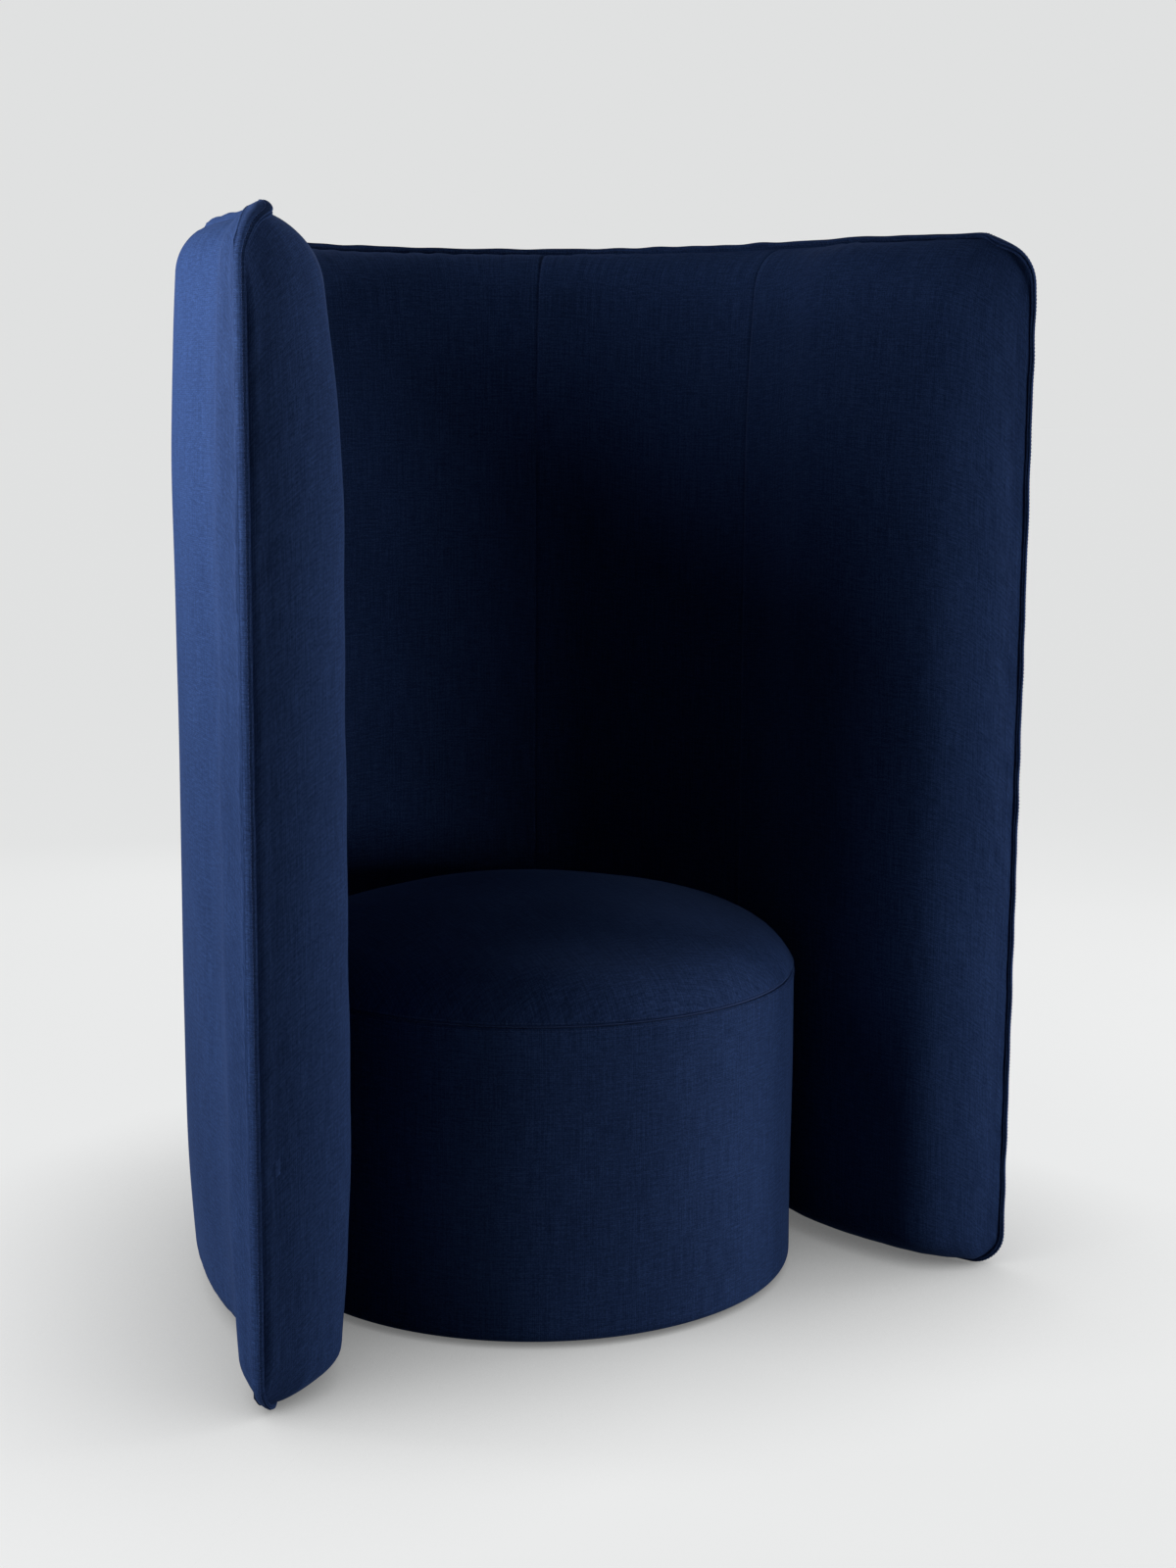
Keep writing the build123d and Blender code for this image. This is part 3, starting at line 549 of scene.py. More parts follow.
def drill(piece: bpy.types.Object, holes: Sequence[Hole]) -> None:
    """Cuts round holes through a closed mesh.

    Args:
        piece: The piece to cut.
        holes: Start, end and radius of each hole.
    """
    work = bmesh.new()
    for start, end, radius in holes:
        way = end - start
        turn = way.to_track_quat("Z", "Y").to_matrix().to_4x4()
        bmesh.ops.create_cone(
            work, cap_ends=True, segments=HOLE_SIDES, radius1=radius, radius2=radius, depth=way.length,
            matrix=Matrix.Translation((start + end) / 2) @ turn,
        )
    mesh = bpy.data.meshes.new("cutter")
    work.to_mesh(mesh)
    work.free()
    cutter = bpy.data.objects.new("cutter", mesh)
    bpy.context.scene.collection.objects.link(cutter)
    cut = piece.modifiers.new("holes", "BOOLEAN")
    cut.object = cutter
    cut.solver = "EXACT"
    graph = bpy.context.evaluated_depsgraph_get()
    piece.data = bpy.data.meshes.new_from_object(piece.evaluated_get(graph))
    piece.modifiers.clear()
    bpy.data.objects.remove(cutter)


def unit(vectors: np.ndarray) -> np.ndarray:
    """Vectors of the same directions with a length of one."""
    return vectors / np.maximum(np.linalg.norm(vectors, axis=-1, keepdims=True), TINY)


def travelled(points: np.ndarray) -> np.ndarray:
    """Distance along lines of points from their first points.

    Args:
        points: The points, in order along the last axis but one.

    Returns:
        The distance at each point.
    """
    steps = np.linalg.norm(np.diff(points, axis=-2), axis=-1)
    return np.concatenate([np.zeros_like(steps[..., :1]), np.cumsum(steps, -1)], -1)


def grid_normals(points: np.ndarray) -> np.ndarray:
    """Unit normals of a grid of points, rows by columns by three."""
    return unit(np.cross(np.gradient(points, axis=0), np.gradient(points, axis=1)))


def tangent_arc(
    start: np.ndarray, heading: np.ndarray, end: np.ndarray, shares: np.ndarray
) -> tuple[np.ndarray, np.ndarray]:
    """Arcs that leave their start along a heading and reach their end.

    Args:
        start: Start points, one row each.
        heading: Start headings in radians.
        end: End points.
        shares: Parts of the arc's length to return.

    Returns:
        The points on each arc, and the headings at the ends.
    """
    chord = end - start
    reach = np.hypot(chord[:, 0], chord[:, 1])
    lean = np.arctan2(chord[:, 1], chord[:, 0]) - heading
    turn = lean[:, None] * shares[None, :]
    length = reach[:, None] * np.sin(turn) / np.sin(lean)[:, None]
    angle = heading[:, None] + turn
    points = start[:, None, :] + length[..., None] * np.stack([np.cos(angle), np.sin(angle)], -1)
    return points, heading + 2 * lean


def smooth_step(value: np.ndarray) -> np.ndarray:
    """Eases a value from zero to one."""
    held = np.clip(value, 0.0, 1.0)
    return held * held * (3 - 2 * held)


@dataclass(frozen=True)
class StitchRow:
    """A row of topstitching laid along a line."""

    pitch: float = 4.6 * MM
    length: float = 3.5 * MM
    radius: float = 0.42 * MM
    rise: float = 0.25 * MM
    sides: int = 6
    # Place of each ring along the stitch, and its lift and width in parts of the radius
    rings: tuple[float, ...] = (-0.5, -0.3, 0.0, 0.3, 0.5)
    lift: tuple[float, ...] = (-0.9, 0.1, 0.45, 0.1, -0.9)
    width: tuple[float, ...] = (0.45, 0.9, 1.0, 0.9, 0.45)

    def points(self, line: np.ndarray, out: np.ndarray) -> tuple[np.ndarray, list[tuple[int, ...]]]:
        """Lays stitches along a line, each one dipping into the cloth at its ends.

        Args:
            line: Points along the row.
            out: Outward direction of the cloth at each point.

        Returns:
            The points and faces of all stitches.
        """
        run = travelled(line)
        count = int(run[-1] / self.pitch)
        middles = (np.arange(count) + 0.5) * self.pitch
        at = (middles[:, None] + np.array(self.rings) * self.length).clip(0, run[-1])
        place = np.stack([np.interp(at, run, line[:, axis]) for axis in range(3)], -1)
        away = np.stack([np.interp(at, run, out[:, axis]) for axis in range(3)], -1)
        aside = np.cross(unit(np.gradient(place, axis=1)), away)
        centre = place + away * (self.rise + np.array(self.lift) * self.radius)[:, None]
        turn = (np.arange(self.sides) / self.sides * 2 * math.pi)[:, None]
        around = np.cos(turn) * aside[:, :, None] + np.sin(turn) * away[:, :, None]
        rings = centre[:, :, None] + (np.array(self.width) * self.radius)[:, None, None] * around
        faces: list[tuple[int, ...]] = []
        per_stitch = len(self.rings) * self.sides
        for base in range(0, count * per_stitch, per_stitch):
            last = base + per_stitch - 1
            faces += grid_faces(len(self.rings), self.sides, base, closed_columns=True)
            faces.append(tuple(range(base, base + self.sides)))
            faces.append(tuple(range(last, last - self.sides, -1)))
        return rings.reshape(-1, 3), faces

    def piece(self, name: str, rows: Sequence[tuple[np.ndarray, np.ndarray]]) -> bpy.types.Object:
        """Makes one object of several rows.

        Args:
            name: The piece's name.
            rows: Line and outward direction of each row.

        Returns:
            The object.
        """
        all_points, all_faces, offset = [], [], 0
        for line, out in rows:
            points, faces = self.points(line, out)
            all_points.append(points)
            all_faces += [tuple(index + offset for index in face) for face in faces]
            offset += len(points)
        return mesh_piece(name, np.concatenate(all_points), all_faces)


# The screen


@dataclass(frozen=True)
class ScreenPlan:
    """The line of the screen's edge seam from above, and the heights of its edges, in metres."""

    seam_y: float
    seat_y: float
    # Bends from the middle of the back to the front, with their turns in degrees
    back_radius: float = 0.370
    back_turn: float = 57.0
    side_radius: float = 0.755
    side_turn: float = 30.0
    flare_radius: float = 0.487
    flare_turn: float = 25.0
    nose_run: float = 0.075
    # Edges of the padding and their rounded corners
    low: float = 0.006
    high: float = 1.339
    top_corner: float = 0.060
    bottom_corner: float = 0.035
    # Height of the flange, its room at the front, the seat's room and the seam's shift down the front
    flange_proud: float = 0.011
    front_gap: float = 0.004
    seat_clear: float = 0.349
    front_shift: float = 0.009

    @property
    def legs(self) -> tuple[tuple[float, float], ...]:
        """Length and bend of each stretch of the seam line.

        Returns:
            One pair per stretch, from the middle of the back to the tip.
        """
        return (
            (self.back_radius * math.radians(self.back_turn), 1 / self.back_radius),
            (self.side_radius * math.radians(self.side_turn), 1 / self.side_radius),
            (self.flare_radius * math.radians(self.flare_turn), -1 / self.flare_radius),
            (self.nose_run, 0.0),
        )

    @property
    def tip(self) -> float:
        """Distance along the seam line from the back's middle to a wing tip."""
        return sum(length for length, _ in self.legs)

    @property
    def front(self) -> float:
        """Distance along the seam line to the padding's front edge, the flange leaning in before it."""
        return self.tip - self.front_gap

    def seam_shift(self, behind: np.ndarray) -> np.ndarray:
        """Outward shift of the seam down the front edge, easing off round the top corner."""
        return self.front_shift * np.maximum(0.0, 1 - behind / self.top_corner) ** 2

    def walk(self, run: np.ndarray) -> tuple[np.ndarray, np.ndarray, np.ndarray]:
        """Follows the seam line.

        Args:
            run: Distances along it, negative to the left.

        Returns:
            Sideways place, forward travel and heading.
        """
        left = np.abs(run)
        across, forward, heading = np.zeros_like(left), np.zeros_like(left), np.zeros_like(left)
        for length, bend in self.legs:
            if bend == 0:
                across = across + left * np.cos(heading)
                forward = forward + left * np.sin(heading)
                continue
            step = np.minimum(left, length)
            turned = heading + step * bend
            across = across + (np.sin(turned) - np.sin(heading)) / bend
            forward = forward - (np.cos(turned) - np.cos(heading)) / bend
            heading = turned
            left = left - step
        side = np.where(run < 0, -1.0, 1.0)
        return side * across, forward, side * heading

    def place(self, run: np.ndarray, inward: np.ndarray, height: np.ndarray) -> np.ndarray:
        """Turns places on the screen into points.

        Args:
            run: Distance along the seam line.
            inward: Distance inwards from it.
            height: Height above the floor.

        Returns:
            The points, with a last axis of three.
        """
        run, inward, height = np.broadcast_arrays(run, inward, height)
        across, forward, heading = self.walk(run)
        x = across - inward * np.sin(heading)
        y = self.seam_y - forward - inward * np.cos(heading)
        return np.stack([x, y, height], -1)

    def seat_room(self, run: np.ndarray) -> np.ndarray:
        """Depth that the seat leaves for the inner padding.

        Args:
            run: Distances along the seam line.

        Returns:
            The depth at each place.
        """
        across, forward, heading = self.walk(run)
        ahead = self.seam_y - forward - self.seat_y
        aim = across * np.sin(heading) + ahead * np.cos(heading)
        spread = aim ** 2 - across ** 2 - ahead ** 2 + self.seat_clear ** 2
        return np.where(spread > 0, aim - np.sqrt(np.maximum(spread, 0.0)), aim)


@dataclass(frozen=True)
class Panel:
    """One padded cloth panel of the screen, from seam to seam or out to the nose, in metres."""

    name: str
    nodes: tuple[str, ...]
    plan: ScreenPlan
    facing: Facing
    start: float
    end: float
    side: int
    holes: tuple[Hole, ...]
    # Full depth, which the inner side gives up where the seat needs room
    inner_depth: float = 0.093
    outer_depth: float = 0.045
    depth_blend: float = 0.010
    # Section: a shoulder below the top seam, a foot over the bottom seam and easy curves between
    shoulder_share: float = 0.8
    full_share: float = 0.88
    inner_shoulder: float = 0.055
    nose_shoulder: float = 0.092
    nose_shoulder_reach: float = 0.300
    inner_foot: float = 0.032
    nose_foot: float = 0.048
    outer_shoulder: float = 0.050
    outer_foot: float = 0.042
    outer_taper: float = 0.060
    outer_taper_reach: float = 0.035
    ease: float = 0.260
    # Narrowing to the front edge
    inner_tip: float = 0.0040
    outer_tip: float = 0.0026
    inner_nose: float = 0.095
    outer_nose: float = 0.070
    inner_power: float = 1.7
    inner_fullness: float = 0.8
    outer_power: float = 1.45
    # Small roll of the cloth beside the front flange
    lip: float = 0.0016
    lip_at: float = 0.004
    lip_width: float = 0.0022
    # Edge seam and upright seams
    seam_side: float = 0.0020
    seam_draw: float = 0.0010
    seam_reach: float = 0.028
    crease: float = 0.0007
    crease_reach: float = 0.004
    crease_hold: float = 0.006
    # Hidden back of the piece
    lining: float = 0.0045
    back_side: float = 0.0216
    # Puckers along the edge and slow swells of the face
    pucker: float = 0.0012
    pucker_reach: float = 0.030
    pucker_length: float = 0.026
    swell: float = 0.0010
    swell_length: float = 0.200
    nose_edge: float = 1.4
    edge_band: float = 0.12
    pucker_spread: float = 0.25
    edge_hold: float = 0.010
    seam_hold: float = 0.012
    # Filling, and steps of the mesh
    fill: float = 0.85
    step: float = 0.0065
    fewest_steps: int = 4
    nose_steps: int = 18
    shoulder_steps: int = 26
    ease_steps: int = 18
    flat_steps: int = 60

    @property
    def at_nose(self) -> bool:
        """Whether the panel ends at the front edge."""
        return self.end >= self.plan.tip

    def runs(self) -> np.ndarray:
        """Places of the sections along the seam line, closer together round the nose.

        Returns:
            The distances from the back's middle.
        """
        stop = self.plan.tip - self.plan.nose_run if self.at_nose else self.end
        count = max(self.fewest_steps, math.ceil((stop - self.start) / self.step))
        even = np.linspace(self.start, stop, count + 1)
        if not self.at_nose:
            return even
        turn = np.linspace(math.pi / 2, 0, self.nose_steps + 1)[1:]
        return np.concatenate([even, self.plan.front - (self.plan.front - stop) * (1 - np.cos(turn))])

    def behind(self, run: np.ndarray) -> np.ndarray:
        """Distance behind the padding's front edge."""
        return np.maximum(0.0, self.plan.front - np.abs(run))

    def limits(self, run: np.ndarray) -> tuple[np.ndarray, np.ndarray, np.ndarray]:
        """Depth, bottom and top of the panel.

        Args:
            run: Places along the seam line.

        Returns:
            The three measures at each place.
        """
        if self.facing is Facing.INNER:
            room = np.minimum(self.plan.seat_room(run), 2 * self.inner_depth)
            full = (self.inner_depth + room - np.hypot(self.inner_depth - room, self.depth_blend)) / 2
        else:
            full = np.full_like(run, self.outer_depth)
        full = full - self.seam_draw * np.maximum(0.0, 1 - self.seam_distance(run) / self.seam_reach)
        behind = self.behind(run)
        if self.facing is Facing.INNER:
            share = 1 - np.minimum(1.0, behind / self.inner_nose)
            grown = (1 - share ** self.inner_power) ** self.inner_fullness
            tip = self.inner_tip
        else:
            share = 1 - np.minimum(1.0, behind / self.outer_nose)
            grown = 1 - share ** self.outer_power
            tip = self.outer_tip
        tip_depth = tip - self.facing.value * self.plan.seam_shift(behind)
        depth = tip_depth + (full - tip_depth) * grown
        low = self.plan.low + self.corner_drop(self.plan.bottom_corner, behind)
        high = self.plan.high - self.corner_drop(self.plan.top_corner, behind)
        return depth, low, high

    def seam_distance(self, run: np.ndarray) -> np.ndarray:
        """Distance to the nearest upright seam."""
        from_start = np.abs(run - self.start)
        return from_start if self.at_nose else np.minimum(from_start, np.abs(run - self.end))

    @staticmethod
    def corner_drop(radius: float, behind: np.ndarray) -> np.ndarray:
        """Drop of a rounded corner below its edge, behind its front."""
        return radius - np.sqrt(radius ** 2 - np.maximum(0.0, radius - behind) ** 2)

    def profile(self, depth: np.ndarray, low: np.ndarray, high: np.ndarray, behind: np.ndarray) -> np.ndarray:
        """Sections of the panel's face from the top seam to the bottom seam.

        Args:
            depth: Full depth at each place.
            low: Bottom at each place.
            high: Top at each place.
            behind: Distance behind the front edge.

        Returns:
            Depth and height of the points of each section.
        """
        if self.facing is Facing.INNER:
            near_nose = 1 - smooth_step(behind / self.nose_shoulder_reach)
            shoulder = self.inner_shoulder + (self.nose_shoulder - self.inner_shoulder) * near_nose
            foot = self.inner_foot + (self.nose_foot - self.inner_foot) * near_nose
            foot_share = self.full_share
        else:
            near_nose = 1 - smooth_step(behind / self.outer_taper_reach)
            shoulder = np.full_like(depth, self.outer_shoulder)
            foot = self.outer_foot + self.outer_taper * near_nose
            foot_share = self.shoulder_share
        side = self.seam_side - self.facing.value * self.plan.seam_shift(behind)
        eased = np.linspace(0, 1, self.ease_steps + 1)
        rounded = np.linspace(0, 1, self.shoulder_steps + 1)
        halves = []
        edges = ((high, 1, shoulder, self.shoulder_share), (low, -1, foot, foot_share))
        for edge, sign, reach, share in edges:
            turn = share * depth
            flat_end = np.stack([depth, edge - sign * (reach + self.ease)], -1)
            turn_end = np.stack([turn, edge - sign * reach], -1)
            seam = np.stack([side, edge], -1)
            heading = np.full_like(depth, sign * math.pi / 2)
            ease, heading = tangent_arc(flat_end, heading, turn_end, eased)
            if sign < 0 and self.facing is Facing.INNER:
                angle = rounded * math.pi / 2
                across = side[:, None] + (turn - side)[:, None] * np.cos(angle)
                round_over = np.stack([across, edge[:, None] + reach[:, None] * (1 - np.sin(angle))], -1)
            else:
                round_over, _ = tangent_arc(turn_end, heading, seam, rounded)
            halves.append(np.concatenate([ease, round_over[:, 1:]], 1))
        upper, lower = halves[0][:, ::-1], halves[1]
        shares = np.linspace(0, 1, self.flat_steps + 1)[None, 1:-1, None]
        flat = upper[:, -1:] * (1 - shares) + lower[:, :1] * shares
        return np.concatenate([upper, flat, lower], 1)

    def build(self, finishes: Finishes) -> bpy.types.Object:
        """Makes the panel with its foam as one closed piece.

        Args:
            finishes: The materials.

        Returns:
            The dressed panel.
        """
        run = self.runs()
        depth, low, high = self.limits(run)
        behind = self.behind(run)
        outer = self.profile(depth, low, high, behind)
        inner = self.profile(depth - self.lining, low + self.lining, high - self.lining, behind)
        inner[..., 0] = np.minimum(inner[..., 0], self.back_side)
        sign = self.facing.value
        face = self.plan.place(self.side * run[:, None], sign * outer[..., 0], outer[..., 1])
        back = self.plan.place(self.side * run[:, None], sign * inner[..., 0], inner[..., 1])
        down = travelled(outer)
        face = face + grid_normals(face) * self.relief(run, down)[..., None] * self.normal_sign(face)
        rows, columns = down.shape
        other = rows * columns
        faces = grid_faces(rows, columns) + grid_faces(rows, columns, other)
        numbers = np.arange(other).reshape(rows, columns)
        for rim in (numbers[0], numbers[-1], numbers[:, 0], numbers[:, -1]):
            faces += [(at, after, other + after, other + at) for at, after in pairwise(rim.tolist())]
        along = run[0] + travelled(face[:, columns // 2])
        cloth = np.stack([np.broadcast_to(self.side * along[:, None], down.shape), self.plan.high - down], -1)
        points = np.concatenate([face.reshape(-1, 3), back.reshape(-1, 3)])
        piece = mesh_piece(self.name, points, faces, np.concatenate([cloth.reshape(-1, 2)] * 2))
        drill(piece, self.holes)
        finishes.dress(piece, Slot.CLOTH, self.nodes)
        return piece

    def normal_sign(self, face: np.ndarray) -> float:
        """Tells which way the grid's normals point.

        Args:
            face: The points of the panel's face.

        Returns:
            One where they point out of the padding, and minus one elsewhere.
        """
        rows, columns = face.shape[:2]
        normal = grid_normals(face)[rows // 2, columns // 2]
        run = np.array([self.runs()[rows // 2] * self.side])
        away = self.plan.place(run, np.array([float(self.facing.value)]), np.zeros(1))[0]
        away = away - self.plan.place(run, np.zeros(1), np.zeros(1))[0]
        return 1.0 if float(np.dot(normal, away)) > 0 else -1.0

    def relief(self, run: np.ndarray, down: np.ndarray) -> np.ndarray:
        """Height of the cloth over the plain form: swells, puckers at the edge seam and creased panel seams.

        Args:
            run: Places along the seam line.
            down: Distance from the top seam along each section.

        Returns:
            The height at each point of the face.
        """
        total = down[:, -1:]
        edge = np.minimum(down, total - down)
        lip = 0.0
        if self.at_nose:
            ahead = self.behind(run)[:, None]
            edge = np.minimum(edge, ahead * self.nose_edge)
            lip = self.lip * np.exp(-((ahead - self.lip_at) / self.lip_width) ** 2)
        seam = self.seam_distance(run)[:, None]
        along = np.where(np.minimum(down, total - down) < self.edge_band, run[:, None], down)
        seed = sum(map(ord, self.name))
        puckers = self.pucker * ripple(along, edge * self.pucker_spread, self.pucker_length, seed)
        puckers = puckers * np.exp(-edge / self.pucker_reach)
        swells = self.swell * ripple(run[:, None], down, self.swell_length, seed + 1)
        held = smooth_step(edge / self.edge_hold) * smooth_step(seam / self.seam_hold)
        creased = np.exp(-((seam / self.crease_reach) ** 2)) * smooth_step(edge / self.crease_hold)
        return (puckers + swells) * held - self.crease * creased + lip


@dataclass(frozen=True)
class EdgeFlange:
    """The raised seam allowance round the screen, in metres: two folded edges side by side, topstitched."""

    plan: ScreenPlan
    holes: tuple[Hole, ...]
    # Section: a hidden root, and one folded edge in parts of the flange's height and half thickness
    half: float = 0.0027
    root: float = 0.014
    root_half: float = 0.8
    root_sink: float = 0.2
    fold: tuple[tuple[float, float], ...] = (
        (0.4, 1.0), (0.75, 1.0), (0.93, 0.8), (1.0, 0.5), (0.93, 0.2), (0.7, 0.06),
    )
    stitch_inset: float = 0.0032
    # Uneven waves, calmer at the floor and fading where the loop closes
    wave: float = 0.0006
    wave_length: float = 0.075
    rise_share: float = 0.7
    sway_seed: int = 11
    rise_seed: int = 23
    floor_calm: float = 0.3
    join_fade: float = 0.1
    # Lean towards the inside, in degrees
    edge_lean: float = 40.0
    wing_lean: float = 64.0
    front_lean: float = 72.0
    bottom_lean: float = 80.0
    flap_lean: float = 98.0
    wing_reach: float = 0.300
    wing_blend: float = 0.7
    bend_share: float = 0.4
    # Flap of spare cloth at each upper front corner
    flap_extra: float = 1.5
    flap_thicker: float = 0.9
    flap_back: float = 0.035
    flap_reach: float = 0.028
    flap_rise: float = 2.0
    # Steps of the mesh
    step: float = 0.006
    corner_points: int = 17

    def path(self) -> tuple[np.ndarray, np.ndarray, np.ndarray, np.ndarray]:
        """The loop of the padding's edge on the unrolled screen.

        Returns:
            Run, height and the two parts of the outward direction at each point.
        """
        plan = self.plan
        bends = (
            (plan.front - plan.top_corner, plan.high - plan.top_corner, plan.top_corner, 90.0),
            (plan.front - plan.bottom_corner, plan.low + plan.bottom_corner, plan.bottom_corner, 0.0),
            (-plan.front + plan.bottom_corner, plan.low + plan.bottom_corner, plan.bottom_corner, -90.0),
            (-plan.front + plan.top_corner, plan.high - plan.top_corner, plan.top_corner, 180.0),
        )
        runs, heights, angles = [], [], []
        for at, (run, height, radius, angle) in enumerate(bends):
            turn = np.radians(np.linspace(angle, angle - 90.0, self.corner_points))
            corner_runs = run + radius * np.cos(turn)
            corner_heights = height + radius * np.sin(turn)
            next_run, next_height, next_radius, next_angle = bends[(at + 1) % len(bends)]
            begin = np.radians(next_angle)
            goal = next_run + next_radius * math.cos(begin), next_height + next_radius * math.sin(begin)
            length = math.hypot(goal[0] - corner_runs[-1], goal[1] - corner_heights[-1])
            shares = np.linspace(0, 1, math.ceil(length / self.step) + 1)[1:-1]
            runs += [corner_runs, corner_runs[-1] + (goal[0] - corner_runs[-1]) * shares]
            heights += [corner_heights, corner_heights[-1] + (goal[1] - corner_heights[-1]) * shares]
            angles += [turn, np.full(len(shares), turn[-1])]
        angle = np.concatenate(angles)
        return np.concatenate(runs), np.concatenate(heights), np.cos(angle), np.sin(angle)

    def section(self) -> np.ndarray:
        """Outline of the flange across its line.

        Returns:
            Height over the padding's edge and sideways place of each point.
        """
        root = [(-self.root, -self.root_half * self.half), (-self.root_sink * self.half, -self.half)]
        fold = [(rise * self.plan.flange_proud, -across * self.half) for rise, across in self.fold]
        side = np.array(root + fold)
        return np.concatenate([side, side[::-1] * (1, -1)])

    def surface(self, out: np.ndarray, sideways: np.ndarray) -> np.ndarray:
        """Points round the loop for each place across it, with the cloth's waves.

        Args:
            out: Heights over the padding's edge.
            sideways: Sideways places, positive inwards.

        Returns:
            Loop points by section points by three.
        """
        run, height, out_run, out_height = self.path()
        along = travelled(np.stack([run, height], -1))
        loop = along[-1] + math.hypot(run[0] - run[-1], height[0] - height[-1])
        fade = np.minimum(along, loop - along)[:, None] / self.join_fade
        loose = smooth_step(fade) * np.where(out_height < 0, self.floor_calm, 1.0)[:, None]
        level = np.zeros_like(along)
        sway = self.wave * ripple(along, level, self.wave_length, self.sway_seed)[:, None] * loose
        rise_length = self.wave_length * self.rise_share
        rise = self.wave * ripple(along, level, rise_length, self.rise_seed)[:, None] * loose
        lean, shift, flap = self.lie(np.abs(run), out_run, out_height)
        share = np.clip(out / self.plan.flange_proud, 0.0, 1.0)[None, :]
        grown = out[None, :] * (1 + self.flap_extra * flap[:, None] * (share > 0))
        thick = sideways[None, :] * (1 + self.flap_thicker * flap[:, None] * share)
        turn = lean[:, None] * np.clip(share / self.bend_share, 0.0, 1.0)
        lifted = grown * np.cos(turn) - thick * np.sin(turn) + rise * share
        shifted = grown * np.sin(turn) + thick * np.cos(turn) + sway * share - shift[:, None]
        return self.plan.place(
            run[:, None] + out_run[:, None] * lifted, shifted, height[:, None] + out_height[:, None] * lifted
        )

    def lie(
        self, run: np.ndarray, out_run: np.ndarray, out_height: np.ndarray
    ) -> tuple[np.ndarray, np.ndarray, np.ndarray]:
        """How the flange lies at each point: it leans inwards, and its spare cloth flops at the top corners.

        Args:
            run: Distance from the back's middle.
            out_run: Part of the outward direction along the seam line.
            out_height: Part of it upwards.

        Returns:
            Lean in radians, outward shift of the root, and size of the corner flap from zero to one.
        """
        front = out_run ** 2
        wing = smooth_step((run - self.plan.front + self.wing_reach) / (self.wing_blend * self.wing_reach))
        along_top = self.edge_lean + (self.wing_lean - self.edge_lean) * wing
        along_edge = np.where(out_height < 0, self.bottom_lean, along_top)
        lean = along_edge + (self.front_lean - along_edge) * front
        from_flap = (run - self.plan.front + self.flap_back) / self.flap_reach
        flap = np.exp(-from_flap ** 2) * smooth_step(out_height * self.flap_rise)
        lean = lean + (self.flap_lean - lean) * flap
        return np.radians(lean), self.plan.front_shift * front, flap

    def build(self, finishes: Finishes) -> list[bpy.types.Object]:
        """Makes the flange and its stitching.

        Args:
            finishes: The materials.

        Returns:
            The flange and the stitches.
        """
        section = self.section()
        points = self.surface(section[:, 0], section[:, 1])
        rows, columns = points.shape[:2]
        faces = grid_faces(rows, columns, closed_rows=True, closed_columns=True)
        along = np.arange(rows) * self.step
        cloth = np.stack(np.broadcast_arrays(travelled(section), along[:, None]), -1).reshape(-1, 2)
        flange = mesh_piece("edge_flange_cloth", points.reshape(-1, 3), faces, cloth)
        drill(flange, self.holes)
        finishes.dress(flange, Slot.CLOTH, ["edge_flange"])
        reach = np.array([self.plan.flange_proud - self.stitch_inset])
        middle = self.surface(reach, np.zeros(1))[:, 0]
        rows_of_stitches = []
        for side in (-1, 1):
            line = self.surface(reach, np.array([side * self.half]))[:, 0]
            rows_of_stitches.append((line, unit(line - middle)))
        stitches = StitchRow().piece("edge_flange_stitches", rows_of_stitches)
        finishes.dress(stitches, Slot.THREAD)
        return [flange, stitches]


@dataclass(frozen=True)
class EdgeFoam:
    """Foam strips that soften the frame's top and front edges under the cloth."""

    plan: ScreenPlan
    node: str
    name: str
    start: float
    end: float
    low: float
    high: float
    end_share: float = 1.0
    half: float = 0.021
    round_over: float = 0.005
    step: float = 0.010
    fill: float = 1.0
    corner_points: int = 5
    fewest_steps: int = 2

    def build(self, finishes: Finishes) -> bpy.types.Object:
        """Makes the strip with rounded long edges.

        Args:
            finishes: The materials.

        Returns:
            The strip.
        """
        steps = max(self.fewest_steps, math.ceil(abs(self.end - self.start) / self.step))
        run = np.linspace(self.start, self.end, steps + 1)[:, None]
        width = np.linspace(1.0, self.end_share, steps + 1)[:, None]
        outline = self.outline()
        points = self.plan.place(run, width * outline[:, 0], outline[:, 1])
        rows, columns = points.shape[:2]
        faces = grid_faces(rows, columns, closed_columns=True)
        faces.append(tuple(range(columns)))
        faces.append(tuple(range((rows - 1) * columns, rows * columns)))
        strip = mesh_piece(self.name, points.reshape(-1, 3), faces)
        finishes.dress(strip, Slot.FOAM, [self.node])
        return strip

    def outline(self) -> np.ndarray:
        """The strip's section with its corners rounded.

        Returns:
            Sideways place and height of each point.
        """
        half = self.half - self.round_over
        low, high = self.low + self.round_over, self.high - self.round_over
        points = []
        bends = ((half, high, 0), (-half, high, 90), (-half, low, 180), (half, low, 270))
        for across, height, angle in bends:
            turn = np.radians(np.linspace(angle, angle + 90, self.corner_points))
            rounded = across + self.round_over * np.cos(turn), height + self.round_over * np.sin(turn)
            points.append(np.stack(rounded, -1))
        return np.concatenate(points)


# The seat


